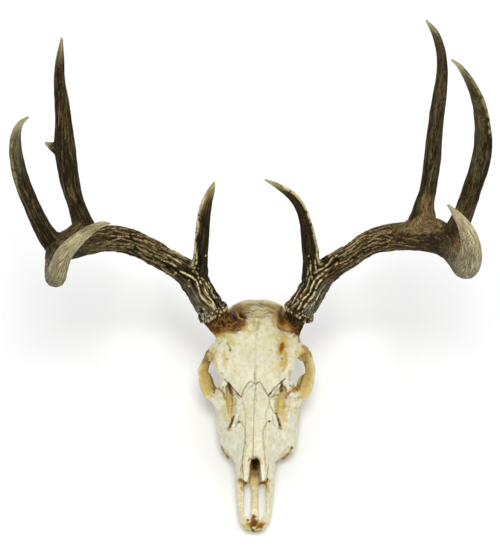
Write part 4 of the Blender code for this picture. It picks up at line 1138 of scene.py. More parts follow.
# lines of the picture: route in pixels, half width in pixels, colour, share, depth in millimetres
STROKES = [
    # forehead
    ([(255.6, 336), (255, 350), (255.3, 362), (254.7, 371)], 0.5, BONE_OLIVE, 0.25, 0.1),
    ([(254.7, 371), (254.4, 380), (255.3, 384)], 0.6, LINE, 0.7, 0.4),
    ([(241.5, 396), (243, 391.5), (245.5, 387), (248.5, 382.6), (251.5, 381.3), (254.5, 383.5),
      (256, 384.6), (258, 382.2), (260, 382.2), (263, 386.5), (266, 391.5), (268.5, 396)],
     0.7, LINE, 0.72, 0.4),
    ([(227.5, 343), (229, 345.5), (230.3, 348), (230.2, 350.5)], 1.1, (0.38, 0.28, 0.08), 0.85, 0.6),
    ([(224, 352), (224.6, 360), (225, 366)], 2.4, (0.64, 0.50, 0.17), 0.7, 0.3),
    ([(284, 340), (282.2, 345.5), (281, 350), (282.8, 356)], 4.2, (0.66, 0.52, 0.17), 0.85, 0.3),
    ([(285, 354), (286, 359), (285, 366), (283, 371)], 1.6, (0.62, 0.44, 0.13), 0.75, 0.2),
    ([(276.5, 323.5), (278, 327), (280.3, 330)], 0.9, BONE_BROWN, 0.85, 0.5),
    ([(275, 334), (276, 338), (277.5, 342)], 1.2, BONE_YELLOW, 0.6, 0.2),
    # crest
    ([(260, 303.5), (268, 306.3), (276, 309.5)], 1.0, (0.12, 0.07, 0.02), 0.9, 0.7),
    ([(244, 311.5), (249, 309.4), (253, 311.6), (258, 309.2), (263, 311.2), (268, 309.4), (273, 312.5)],
     0.7, (0.22, 0.15, 0.05), 0.7, 0.4),
    ([(243, 308), (248, 304.6), (254, 305.2)], 0.9, BONE_BROWN, 0.85, 0.7),
    ([(240, 306), (250, 303.5), (262, 303.3), (272, 305.5), (281, 308.5)],
     2.0, (0.52, 0.40, 0.11), 0.85, 0.0),
    ([(236, 311), (240, 308.4), (245, 309.6), (250, 306.8)], 0.8, (0.20, 0.12, 0.04), 0.8, 0.3),
    ([(256, 304.6), (262, 306.8), (268, 304.8), (275, 308)], 0.8, (0.22, 0.13, 0.045), 0.75, 0.3),
    ([(264, 314), (270, 312.2), (275, 314.8), (279, 313)], 0.8, (0.26, 0.16, 0.05), 0.7, 0.3),
    ([(243, 313.6), (248, 312.4), (252, 314.2)], 0.7, (0.30, 0.20, 0.07), 0.6, 0.2),
    ([(247, 315.2), (251, 317.6), (256, 316.2), (261, 318.4), (267, 316)], 0.8, BONE_OLIVE, 0.45, 0.3),
    # pedicles
    ([(209, 325), (217, 329)], 7.5, (0.105, 0.050, 0.017), 0.95, 0.0),
    ([(216, 321), (226, 319), (237, 314)], 10.0, (0.085, 0.042, 0.014), 0.95, 0.0),
    ([(227, 311), (238, 308)], 4.4, (0.070, 0.034, 0.011), 0.95, 0.0),
    ([(240, 309), (247, 306.5)], 2.6, (0.22, 0.13, 0.04), 0.85, 0.0),
    ([(224, 321), (237, 318)], 9.0, (0.062, 0.030, 0.010), 0.95, 0.0),
    ([(229, 308), (238, 311), (242, 318), (240, 326)], 4.6, (0.16, 0.075, 0.018), 0.95, 0.0),
    ([(228, 310), (233, 316), (236, 324)], 1.3, (0.02, 0.011, 0.004), 0.9, 0.3),
    ([(241, 309.5), (240.4, 316), (243.6, 321)], 1.0, (0.02, 0.011, 0.004), 0.85, 0.3),
    ([(214, 333), (219, 334.6), (226, 331.5), (233, 332)], 1.8, (0.34, 0.165, 0.04), 0.85, 0.0),
    ([(223, 331), (229, 329.4), (234, 331.5), (239, 330)], 1.2, (0.05, 0.03, 0.012), 0.85, 0.4),
    ([(234.3, 312), (235.3, 319)], 0.9, BLACK, 0.9, 0.8),
    ([(236.5, 312), (239, 318), (244, 320)], 0.9, (0.56, 0.35, 0.10), 0.85, -0.3),
    ([(239.4, 312.5), (242, 317.5), (245.5, 318)], 0.8, (0.06, 0.035, 0.012), 0.9, 0.5),
    ([(231, 325.5), (236, 322.5)], 1.3, (0.42, 0.22, 0.06), 0.8, -0.3),
    ([(227, 311.5), (230, 315), (228.6, 318), (231.5, 321)], 0.7, (0.40, 0.23, 0.06), 0.7, -0.3),
    ([(234, 309.5), (233.2, 313), (235.2, 315.6)], 0.6, (0.38, 0.21, 0.06), 0.7, -0.3),
    ([(219, 318.5), (222.4, 319), (224.6, 321.6)], 0.7, (0.34, 0.19, 0.05), 0.65, -0.3),
    ([(212, 323.4), (216, 326), (221.6, 326.4)], 0.7, (0.32, 0.17, 0.045), 0.65, -0.3),
    ([(226, 325.4), (230, 323.6), (232.4, 327)], 0.6, (0.42, 0.24, 0.06), 0.7, -0.3),
    ([(284, 312), (292, 319), (300, 327)], 8.6, (0.020, 0.013, 0.006), 0.96, 0.0),
    ([(286, 309), (284.6, 313), (286.4, 316)], 0.6, (0.34, 0.18, 0.05), 0.65, -0.3),
    ([(291, 326.4), (295, 328.4), (299, 327.6)], 0.6, (0.30, 0.16, 0.045), 0.6, -0.3),
    ([(283, 318), (286, 322), (290, 324.2)], 0.7, (0.38, 0.21, 0.06), 0.7, -0.3),
    ([(284, 304), (281, 312), (280, 319), (284, 326)], 4.8, (0.20, 0.095, 0.022), 0.98, 0.0),
    ([(282, 306), (279.5, 314), (281, 322)], 1.1, (0.02, 0.011, 0.004), 0.85, 0.3),
    ([(275.4, 309), (275.6, 318), (278, 325), (285, 328.5), (293, 331.5)],
     1.5, (0.50, 0.31, 0.085), 0.85, -0.4),
    ([(273, 314), (272.6, 321), (275, 328)], 1.0, (0.55, 0.40, 0.12), 0.7, 0.0),
    ([(278.5, 321.5), (284, 325.5), (292, 329), (298, 334)], 1.5, (0.24, 0.095, 0.02), 0.9, 0.2),
    ([(290, 331), (298, 334)], 1.2, BONE_DARK, 0.8, 0.4),
    ([(298.6, 334), (299.2, 342)], 1.0, (0.09, 0.05, 0.018), 0.85, 0.5),
    # orbits
    ([(209, 357), (204.7, 366), (203.7, 380), (206, 391)], 7.6, WALL, 0.95, 0.0),
    ([(209.6, 366), (210.6, 374), (213, 382), (215, 388), (214, 393)], 1.3, (0.22, 0.12, 0.03), 0.85, 0.0),
    ([(205.3, 353.2), (208.6, 350.8)], 1.0, BONE_BROWN, 0.9, 0.3),
    ([(210, 353.5), (214, 359), (216.5, 366)], 1.8, (0.64, 0.46, 0.17), 0.65, 0.0),
    ([(303, 353), (305.6, 360), (307.6, 369), (307.2, 380), (304.4, 391)], 7.4, WALL, 0.95, 0.0),
    ([(304, 366), (303.6, 374), (301.2, 381), (299, 387), (297.5, 391)],
     1.3, (0.24, 0.13, 0.035), 0.85, 0.0),
    ([(303.3, 346.3), (306, 349), (309, 352), (311, 356)], 2.2, (0.46, 0.26, 0.07), 0.85, -0.5),
    ([(214.5, 388), (218.5, 388.8), (222, 391), (224.2, 394.5), (224.8, 399)], 1.4,
     (0.42, 0.23, 0.05), 0.95, 0.4),
    ([(296, 389.5), (291.6, 391), (288.2, 393.5), (286, 398)], 1.6, (0.44, 0.25, 0.06), 0.95, 0.5),
    ([(290, 373), (290.4, 380)], 1.0, (0.50, 0.30, 0.06), 0.7, 0.2),
    ([(199, 397), (206, 398), (213, 396.5)], 1.1, (0.66, 0.52, 0.2), 0.6, 0.0),
    ([(297, 397.5), (305, 397.3)], 1.1, (0.62, 0.46, 0.14), 0.75, 0.0),
    # gaps before the orbits
    # Painted shadow: a dark line under the lower edge of the forehead, on the left.
    ([(224.4, 379.4), (229, 383.5), (233.5, 389), (237.5, 393.5), (241.2, 397)],
     0.75, (0.13, 0.09, 0.035), 0.9, 0.6),
    ([(231.5, 390), (235.5, 394.6), (239.5, 398.6)], 0.8, (0.40, 0.31, 0.12), 0.55, 0.3),
    ([(233.8, 389.4), (234.6, 390.6)], 0.8, (0.14, 0.09, 0.035), 0.85, 0.4),
    ([(237, 393), (238, 394.6)], 0.8, (0.14, 0.09, 0.035), 0.8, 0.4),
    ([(234, 397), (236.4, 400.6), (235.4, 405)], 0.8, (0.50, 0.40, 0.16), 0.6, 0.3),
    ([(228.6, 383.5), (229.6, 388), (230.6, 393)], 1.3, (0.12, 0.055, 0.02), 0.97, 1.6),
    ([(230.6, 391), (231.6, 396), (228.6, 404), (228.4, 412)], 1.1, (0.20, 0.11, 0.03), 0.85, 0.8),
    ([(228.5, 399), (230, 396), (233.6, 395.2)], 0.8, (0.25, 0.17, 0.07), 0.8, 0.5),
    ([(229.6, 397), (229.6, 404), (230.4, 416)], 2.8, (0.74, 0.60, 0.22), 0.85, 1.2),
    ([(232.4, 399), (232, 406), (231, 413)], 0.8, (0.30, 0.20, 0.06), 0.7, 0.3),
    ([(236, 399), (237.5, 406), (236, 412)], 1.0, (0.66, 0.50, 0.22), 0.4, 0.2),
    ([(233, 417.3), (231.4, 422.5), (228.4, 429.4)], 1.9, (0.46, 0.31, 0.10), 0.7, 0.6),
    # Painted shade: the left slit is painted black inside.
    ([(233.2, 417), (231.6, 422.5), (229.2, 427.6)], 1.1, BLACK, 1.0, 2.0),
    ([(238.6, 416), (237.8, 421), (235.6, 427)], 0.7, (0.42, 0.35, 0.18), 0.7, 0.3),
    # Painted highlight: a white line beside the left slit.
    ([(236.6, 415.5), (235.4, 420.5), (233.2, 426)], 1.1, (0.93, 0.92, 0.85), 0.9, -0.6),
    # Painted shadow: a dark line under the lower edge of the forehead, on the right.
    ([(285.2, 378.8), (280, 383), (275, 388), (271, 392.5), (268.6, 396)],
     0.75, (0.13, 0.09, 0.035), 0.9, 0.6),
    ([(278.6, 389), (274.6, 393.5), (271.4, 397.5)], 1.1, (0.38, 0.29, 0.12), 0.65, 0.3),
    ([(281.6, 382.5), (281.3, 391.5)], 1.5, (0.13, 0.065, 0.022), 0.97, 1.5),
    ([(274.3, 396.3), (277, 394.9), (280.6, 395.4)], 0.8, (0.28, 0.18, 0.075), 0.85, 0.6),
    ([(280.6, 396), (281.2, 404), (281.8, 413), (282.8, 420)], 2.9, (0.72, 0.59, 0.23), 0.85, 1.2),
    ([(276, 398), (275.5, 406), (277.5, 413)], 1.8, (0.58, 0.48, 0.20), 0.7, 0.5),
    ([(278.4, 402), (278, 410)], 0.8, (0.12, 0.08, 0.03), 0.75, 0.5),
    ([(268.7, 397), (270, 405), (273, 411), (275.5, 414)], 0.9, (0.50, 0.355, 0.12), 0.85, 0.4),
    ([(277.3, 416.3), (279, 421.5), (280.8, 427.8)], 1.9, (0.46, 0.31, 0.10), 0.7, 0.6),
    # Painted shade: the right slit is painted black inside.
    ([(277.2, 416), (278.8, 421.5), (280.2, 426)], 1.1, BLACK, 1.0, 2.0),
    ([(272.2, 416), (273.4, 421), (275.4, 426.6)], 0.7, (0.42, 0.35, 0.18), 0.7, 0.3),
    # Painted highlight: a white line beside the right slit.
    ([(274.2, 414.8), (275.8, 419.5), (277.2, 425)], 1.1, (0.93, 0.92, 0.85), 0.9, -0.6),
    # nasals
    ([(256, 384.5), (255, 392), (254.3, 400)], 0.6, LINE, 0.5, 0.35),
    ([(254.3, 400), (254, 415), (253.5, 430)], 0.6, LINE, 0.5, 0.3),
    ([(253.5, 428), (253.3, 440), (252.9, 457)], 0.75, (0.43, 0.31, 0.11), 0.85, 0.4),
    ([(240.5, 422), (243, 424.5), (244.8, 429), (245, 437), (244.6, 444), (243, 455), (242, 464),
      (240.6, 471)], 0.85, (0.36, 0.29, 0.15), 0.65, 0.4),
    ([(270, 420.5), (267, 422.5), (264.5, 426.5), (263.2, 434), (263, 441), (264, 449), (264.8, 457),
      (265.8, 465)], 0.85, (0.47, 0.34, 0.13), 0.7, 0.4),
    ([(240.6, 467), (240.6, 478)], 1.0, OCHRE, 0.5, 0.2),
    ([(264.5, 457), (265.8, 470)], 1.0, OCHRE, 0.6, 0.2),
    # jaw edges
    ([(221.5, 447), (223.5, 452), (227, 456.5), (230, 460), (232.8, 463.5)],
     1.6, (0.27, 0.18, 0.055), 0.9, 0.2),
    ([(224.6, 449), (227.6, 453), (231, 456.6)], 1.2, (0.60, 0.47, 0.16), 0.6, -0.5),
    ([(291.6, 448), (289, 453), (285, 457.5), (280, 461), (276.5, 463)], 1.8, (0.42, 0.26, 0.07), 0.9, 0.2),
    ([(288, 447), (284.6, 452), (280, 456)], 1.4, (0.62, 0.50, 0.20), 0.6, -0.5),
    # nose opening and muzzle
    # Partly painted light: the strip between the slots is the bone's orange tan, painted brighter against
    # the shade it lies in.
    ([(254.8, 474), (254.8, 485)], 3.4, (0.86, 0.68, 0.33), 0.9, 0.0),
    ([(254.8, 468), (254.8, 473)], 4.2, (0.40, 0.24, 0.08), 0.9, 0.0),
    # Painted shade: the top of the nose opening, nearly black.
    ([(255, 460), (255, 467.5)], 3.6, (0.09, 0.052, 0.022), 1.0, 0.0),
    # Painted light: the shaded walls of the nose opening painted pale.
    ([(249.2, 468), (248.4, 480)], 1.5, (0.84, 0.74, 0.50), 0.8, 0.0),
    ([(261, 466), (261.6, 474), (262.4, 481)], 1.7, (0.95, 0.93, 0.82), 0.95, 0.0),
    # Partly painted light: the walls' orange brown, painted lighter against their shade.
    ([(251.6, 462), (250.8, 474), (249.4, 483)], 1.1, (0.52, 0.32, 0.10), 0.9, 0.0),
    ([(258, 466), (258.6, 474), (259.4, 482)], 1.1, (0.52, 0.32, 0.10), 0.9, 0.0),
    ([(254.6, 488), (254.6, 500), (254.3, 515)], 3.4, (0.86, 0.79, 0.50), 0.8, 0.0),
    ([(239.6, 480.6), (242.6, 483), (246.4, 485.4)], 3.0, (0.58, 0.38, 0.11), 0.9, 0.2),
    ([(260.3, 484.6), (264, 484), (267.8, 480.6)], 3.0, (0.58, 0.38, 0.11), 0.9, 0.2),
    ([(240.2, 479.8), (242.6, 481.8), (246, 484.4)], 1.6, (0.30, 0.13, 0.028), 0.95, 0.4),
    ([(260.7, 483.6), (264, 482.6), (267, 479.8)], 1.6, (0.30, 0.13, 0.028), 0.95, 0.4),
    ([(242.4, 486), (241.5, 496), (242.5, 508), (244, 518)], 2.1, (0.76, 0.62, 0.31), 0.5, 0.0),
    ([(266.8, 486), (267.5, 496), (266, 508), (263, 520)], 2.1, (0.76, 0.62, 0.31), 0.5, 0.0),
    ([(253.6, 516.5), (252.8, 520), (252, 525)], 2.2, (0.17, 0.06, 0.015), 0.96, 0.5),
    ([(248.4, 461), (249.6, 458.4), (251.6, 459.4), (253.3, 461.2), (255, 459.4), (257.4, 458.4),
      (258.6, 460.6)], 0.8, (0.20, 0.10, 0.03), 0.9, 0.0),
    # cheeks
    ([(216, 400), (221, 407), (224, 415)], 2.4, OCHRE, 0.4, 0.0),
    ([(227, 399), (226, 410), (226, 420)], 2.2, (0.64, 0.53, 0.20), 0.5, 0.3),
    ([(289, 399), (287, 410), (286, 420)], 2.4, OCHRE, 0.45, 0.4),
    ([(296, 402), (291, 410), (288, 418)], 1.3, (0.86, 0.84, 0.72), 0.7, -0.4),
    ([(288, 414), (294, 407.5), (301, 402.5)], 1.3, (0.70, 0.58, 0.27), 0.5, -0.6),
    ([(220, 402), (216, 408), (215, 416)], 1.3, (0.74, 0.64, 0.36), 0.35, -0.4),
]
# ovals of the picture: middle, half width and half height in pixels, turn, colour, share, depth
BLOTS = [
    (244, 309, 7, 3.2, -15, (0.50, 0.37, 0.12), 0.6, 0.0),
    (270, 308, 8, 3.4, 12, (0.52, 0.39, 0.13), 0.6, 0.0),
    (238, 309.5, 5.5, 3.4, -10, (0.11, 0.062, 0.02), 0.85, 0.0),
    (230, 313, 5, 4, 0, (0.07, 0.038, 0.013), 0.85, 0.0),
    (281, 313, 3.6, 5.6, 0, (0.085, 0.042, 0.012), 0.9, 0.0),
    (274, 309, 4, 3, 0, (0.30, 0.20, 0.06), 0.5, 0.0),
    (261, 311.5, 6, 3, 0, (0.72, 0.65, 0.42), 0.5, 0.0),
    (293, 318.5, 6.5, 5, 40, (0.035, 0.02, 0.009), 0.85, 0.0),
    (299.5, 322, 4, 5, 0, (0.12, 0.08, 0.03), 0.6, 0.0),
    (286.5, 327.5, 5, 2.8, 25, (0.50, 0.34, 0.12), 0.7, 0.0),
    (225, 329.5, 6, 2.2, 0, (0.32, 0.20, 0.07), 0.5, 0.0),
    (217.5, 404, 6.5, 7.5, 0, (0.88, 0.87, 0.73), 0.6, 0.0),
    (295, 403, 6.5, 6.5, 0, (0.87, 0.85, 0.69), 0.5, 0.0),
    (209, 399, 5.5, 3.6, 0, (0.86, 0.81, 0.64), 0.6, 0.0),
    (294.5, 389.5, 3.6, 3, 0, (0.50, 0.31, 0.055), 0.7, 0.0),
    (254, 525.5, 11, 7, 0, (0.66, 0.54, 0.22), 0.75, 0.0),
    (277.6, 405, 3.0, 9, 0, (0.66, 0.57, 0.28), 0.75, 0.0),
    (235.5, 327, 5.5, 3.4, -15, (0.15, 0.075, 0.018), 0.95, 0.0),
    (243, 324, 3.2, 5.2, 20, (0.24, 0.13, 0.035), 0.8, 0.0),
    (254, 322, 2.2, 6, 0, (0.44, 0.39, 0.15), 0.7, 0.1),
    (258.4, 323.5, 1.8, 6, 8, (0.42, 0.36, 0.11), 0.75, 0.15),
    (253.5, 330.5, 2.2, 2.2, 0, (0.5, 0.45, 0.22), 0.4, 0.1),
    (257, 334.5, 1.0, 2.4, 0, BONE_OLIVE, 0.45, 0.15),
    (244.6, 329.5, 3.4, 3.4, 0, (0.58, 0.42, 0.12), 0.75, 0.1),
    (249, 331.5, 1.4, 2.8, -20, OCHRE, 0.4, 0.1),
    (279.6, 333.8, 1.9, 3.1, 0, (0.62, 0.56, 0.18), 0.65, 0.1),
    (275, 321, 2.6, 5, 0, (0.62, 0.46, 0.17), 0.6, 0.1),
    (235, 332.5, 3, 2.2, 0, (0.42, 0.27, 0.09), 0.7, 0.0),
    (227, 331.5, 4, 1.6, 0, (0.32, 0.27, 0.12), 0.5, 0.0),
    (230.5, 339, 4.0, 6, 0, (0.68, 0.60, 0.22), 0.65, 0.1),
    (222, 336, 6, 3, 0, (0.60, 0.50, 0.14), 0.7, 0.0),
    (230.2, 350.3, 1.3, 1.4, 0, (0.28, 0.19, 0.05), 0.95, 1.2),
    (281.6, 347.2, 2.9, 6.2, 12, (0.42, 0.21, 0.03), 1.0, 0.5),
    (281.4, 347, 2.1, 5.2, 12, (0.30, 0.115, 0.006), 1.0, 0.3),
    (227.4, 359.2, 1.5, 1.4, 0, (0.40, 0.36, 0.25), 0.8, 0.8),
    (282.2, 358.7, 2.9, 2.9, 0, BONE_WHITE, 0.6, -0.2),
    (282.2, 358.7, 1.6, 1.5, 0, (0.33, 0.27, 0.14), 0.85, 1.0),
    (282.4, 364, 4.4, 2.6, 0, (0.67, 0.50, 0.14), 0.85, 0.2),
    (258, 310, 21, 8, 0, (0.40, 0.31, 0.09), 0.8, 0.0),
    # Painted shadow: grey-brown under the roofs of both orbits.
    (207, 359, 6.0, 5.4, 0, (0.27, 0.225, 0.14), 0.85, 0.0),
    (304.5, 357.5, 4.4, 6.0, 0, (0.30, 0.21, 0.10), 0.8, 0.0),
    (223, 387.4, 1.0, 1.0, 0, BONE_DARK, 0.8, 0.9),
    (296, 388, 5.2, 4.2, 0, (0.50, 0.32, 0.09), 0.9, 0.4),
    (296.5, 388.6, 2.4, 1.8, 0, (0.30, 0.17, 0.05), 0.8, 0.2),
    (292.3, 386.7, 0.8, 0.8, 0, BONE_DARK, 0.8, 0.6),
    (295.5, 385, 0.8, 0.8, 0, BONE_DARK, 0.8, 0.6),
    (297, 389, 1.0, 0.8, 0, BONE_BROWN, 0.8, 0.6),
    (290, 385.5, 0.9, 0.9, 0, BONE_DARK, 0.7, 0.6),
    # Painted shade: small holes painted black.
    (239, 421.7, 1.1, 1.5, 0, BLACK, 0.95, 1.3),
    (270, 421.2, 1.3, 1.1, 0, BLACK, 0.95, 1.3),
    (270.7, 393.4, 1.2, 1.2, 0, BLACK, 0.95, 1.0),
    (276.4, 413.9, 1.1, 1.0, 0, BLACK, 0.95, 1.2),
    (275.5, 389, 3.6, 3.2, -40, (0.52, 0.47, 0.34), 0.65, 0.3),
    (229.9, 430.3, 2.2, 1.3, 0, OCHRE, 0.6, 0.3),
    (280, 428.2, 2.2, 1.8, 0, (0.45, 0.31, 0.11), 0.9, 0.8),
    # Painted highlight: white ovals beside the two slits.
    (235.6, 420.3, 1.7, 3.2, 15, BONE_WHITE, 0.9, -0.7),
    (275.6, 421.5, 1.8, 3.0, -15, BONE_WHITE, 0.9, -0.7),
    (225.6, 455.6, 1.0, 1.0, 0, BONE_DARK, 0.85, 0.6),
    (229.8, 460.2, 0.9, 0.9, 0, BONE_DARK, 0.8, 0.6),
    (291.7, 447.8, 1.2, 1.2, 0, BONE_BROWN, 0.9, 0.6),
    (287.8, 455, 1.0, 1.2, 0, BONE_BROWN, 0.85, 0.6),
    (283.4, 458.6, 1.0, 1.1, 0, BONE_BROWN, 0.85, 0.6),
    (278.5, 462, 1.0, 1.0, 0, BONE_RUST, 0.7, 0.5),
    (243, 488, 3.2, 5, 0, (0.55, 0.34, 0.09), 0.8, 0.0),
    (266.3, 488, 3.0, 5, 0, (0.55, 0.34, 0.09), 0.8, 0.0),
    (255.8, 524.3, 9.0, 4.2, 6, (0.40, 0.20, 0.04), 0.95, 0.1),
    (249.5, 525, 3.4, 2.4, 0, (0.44, 0.22, 0.05), 0.85, 0.0),
    (254, 521.5, 3.2, 5.5, 0, (0.26, 0.095, 0.016), 0.95, 0.2),
    (262, 525.5, 2.6, 2.0, 0, (0.30, 0.12, 0.02), 0.85, 0.1),
    (253.5, 524, 3.4, 3.0, 0, (0.16, 0.055, 0.014), 0.9, 0.3),
    (259.5, 526, 3.0, 2.2, 0, (0.26, 0.11, 0.03), 0.85, 0.2),
    (251.3, 527.5, 1.2, 1.6, 0, BONE_DARK, 0.7, 0.5),
    (256.8, 528.4, 1.2, 1.0, 0, BONE_DARK, 0.7, 0.5),
    (248, 520.4, 1.3, 1.2, 0, BONE_DARK, 0.9, 0.9),
    (253.2, 530, 2.7, 2.4, 0, BONE_DARK, 0.9, 0.7),
    (254.2, 528.2, 1.1, 1.1, 0, BONE_WHITE, 0.9, -0.4),
    (247.6, 531, 3.0, 1.8, 0, (0.44, 0.33, 0.10), 0.8, -0.4),
    (258.7, 531.5, 3.6, 2.2, 0, (0.40, 0.29, 0.09), 0.85, -0.5),
    (245, 526.5, 3.4, 3.4, 0, (0.58, 0.50, 0.15), 0.7, 0.0),
]


# slits in the walls of the orbits, in the picture
WALL_SLITS = [[(221, 375), (220.5, 380), (218.5, 385)], [(290.8, 373), (291.2, 379)]]
# holes on either side that the viewer hardly sees: place, radius, how far it is stretched each way
HOLES = [
    (23.0, 99, 37, 3.4, (1, 1.5, 1)), (37, 227, 45, 4.0), (12.5, 120, 19, 2.4),
    (22, 214, 26, 2.6), (17, 246, 31, 2.4), (30, 236, 74, 2.0),
]
CHEEK_KNOB = (33, 127, 32, 11)  # place and radius
TEMPLE_RIDGE = [(31, 196, 96), (26, 212, 97), (22, 228, 91), (24, 240, 82)]
BEHIND_PEDICLES = [(25, 196, 104), (26, 216, 94), (27, 240, 72)]
# seams of the braincase: route, half width
CRACKS = [
    ([(0, 206, 110), (0, 241, 88)], 1.0),
    ([(0, 207, 107), (8, 206, 105), (15, 209, 103), (24, 206, 96), (31, 204, 84)], 1.1),
    ([(0, 241, 90), (10, 242, 86), (20, 244, 76), (27, 243, 64)], 1.1),
    ([(34, 200, 72), (36, 212, 66), (36, 226, 64), (32, 236, 60)], 1.0),
]
# the ranges of the skull's zones
WALL_ACROSS, WALL_BACK = (26, 31, 42, 46), (134, 142, 178, 186)
FRINGE_ALONG = (14, 18, 21, 26)
ORBIT_DEEP = (-34, -24, -2.5, 1.5)
CREST_BACK = (184, 190, 200, 206)
NOSE_UP = (16, 22, 56, 62)
JAW_EDGE_BACK = (84, 90, 160, 166)
POROUS_BACK = (95, 120, 135, 150)
WIDE_STAIN = 4  # half width of a line from which an old stain spreads
WIDE_LINE = 1.5  # half width from which a line fades towards the back of the head
WIDE_BLOT = 15  # half width from which an oval is a stain under the other marks


def zones(skin):
    """The skull's coloured zones, from 0 to 1 at each point."""
    here = np.stack((skin.side, skin.back, skin.up), axis=1)
    foot, head = np.array(PEDICLE_FOOT), np.array(PEDICLE_HEAD)
    axis = unit(head - foot)
    along = (here - foot) @ axis
    away = np.linalg.norm(here - foot - along[:, None] * axis, axis=1)
    ragged = rough(skin.points, 6, 41) * 3.5 + rough(skin.points, 2.5, 42) * 1.2
    near = fade(away, 24, 19)
    skin.pedicle = fade(along + ragged, 19, 23) * near
    skin.pedicle_fringe = band(along + ragged, *FRINGE_ALONG) * near
    offset = here - np.array(ORBIT)
    deep = offset @ ORBIT_FACING
    reach = np.linalg.norm(offset - deep[:, None] * ORBIT_FACING, axis=1)
    skin.orbit = fade(reach, 21, 17) * band(deep, *ORBIT_DEEP)
    skin.crest = band(skin.back, *CREST_BACK) * fade(skin.up, 86, 94) * (1 - skin.pedicle)
    skin.crest = skin.crest * fade(skin.side + ragged, 30, 22) * fade(skin.py + ragged, 321, 310)
    skin.nose = fade(skin.side, 10, 8) * fade(skin.back, 30, 40) * band(skin.up, *NOSE_UP)
    skin.nose = skin.nose * (1 - skin.outside)
    skin.jaw_edge = fade(skin.up, 17, 14.5) * band(skin.back, *JAW_EDGE_BACK)
    middle = fade(skin.side, 9, 5) * (fade(skin.py, 370, 362) + fade(skin.py, 396, 410))
    skin.seam_share = 1 - 0.75 * middle - 0.7 * fade(skin.side, 10, 13) * fade(skin.back, 104, 96)
    skin.holes = np.maximum.reduce([skin.ball(*hole) for hole in HOLES])
    skin.cracks = np.maximum.reduce([skin.channel(*crack) for crack in CRACKS])
    skin.cracks = skin.cracks * skin.cloud(5, 57, -0.75, -0.35)


def sculpt_skull(skin, seam):
    """Cuts the seams, holes and marks, and raises what stands proud."""
    points = skin.points
    skin.lift += 0.14 * rough(points, 7, 51) + 0.09 * rough(points, 2.8, 52)
    skin.lift += skin.pedicle * (0.75 * rough(points, 4.2, 53) + 0.35 * rough(points, 2.0, 54))
    skin.lift += skin.crest * (0.45 * rough(points, 5.5, 55) - 0.5 * peak(rough(points, 6, 56), 0.07))
    skin.lift -= 0.34 * peak(seam, 0.55) * skin.seam_share
    for route, width, _, _, depth in STROKES:
        if depth:
            skin.lift -= depth * skin.stroke(route, width * 1.1, 0.2)
    for x, y, wide, high, turn, _, _, depth in BLOTS:
        if depth:
            skin.lift -= depth * skin.blot(x, y, wide, high, turn, 0.2)
    wall = band(skin.side, *WALL_ACROSS) * band(skin.back, *WALL_BACK)
    for route in WALL_SLITS:
        skin.lift -= 2.2 * skin.stroke(route, 2.6, 0.1, hidden=True) * wall
    skin.lift -= 2.4 * skin.holes
    skin.lift += 1.3 * skin.ball(*CHEEK_KNOB)
    skin.lift += 0.9 * skin.channel(TEMPLE_RIDGE, 3.2)
    skin.lift -= 0.5 * skin.cracks
    skin.lift += 0.35 * fade(skin.back, 236, 246) * rough(points, 3.4, 58)
    skin.lift += skin.jaw_edge * (0.5 * rough(points, 3.0, 59) - 0.25)


def paint_skull(skin, seam):
    """The bone's colours, from the wide stains and painted shade down to the single marks."""
    paint = Paint(BONE)
    dips = skin.hollow(5)
    lay_bone(skin, paint, dips)
    lay_hollows(skin, paint)
    lay_crest_and_pedicles(skin, paint)
    paint.lay(LINE, peak(seam, 0.42) * 0.42 * skin.seam_share)
    paint.lay(BONE_OLIVE, skin.cracks * 0.55)
    paint.lay(BONE_BROWN, skin.jaw_edge * skin.cloud(3, 59, 0.25, -0.35) * 0.6)
    lay_marks(skin, paint)
    rust = skin.pedicle * skin.seen * peak(rough(skin.points * (1, 1, 0.5), 4.5, 72), 0.12)
    paint.lay((0.30, 0.15, 0.05), rust * 0.5 * fade(skin.px, 275, 250))
    # Painted shade: the small holes are painted black.
    paint.lay(BLACK, skin.holes * 0.95)
    put_tint(skin.thing, paint.colour)
    porous = band(skin.back, *POROUS_BACK) * fade(skin.up, 20, 34)
    pores = np.maximum.reduce([skin.cloud(10, 73, 0.0, 0.45) * 0.5, porous * 0.5, skin.crest * 0.9])
    put_values(skin.thing, "pores", pores)
    polish = 0.35 - skin.pedicle * 1.6 - skin.crest * 0.8 + fade(dips, 0, -0.2) * 0.3
    put_values(skin.thing, "polish", np.clip(polish, -1.3, 1))


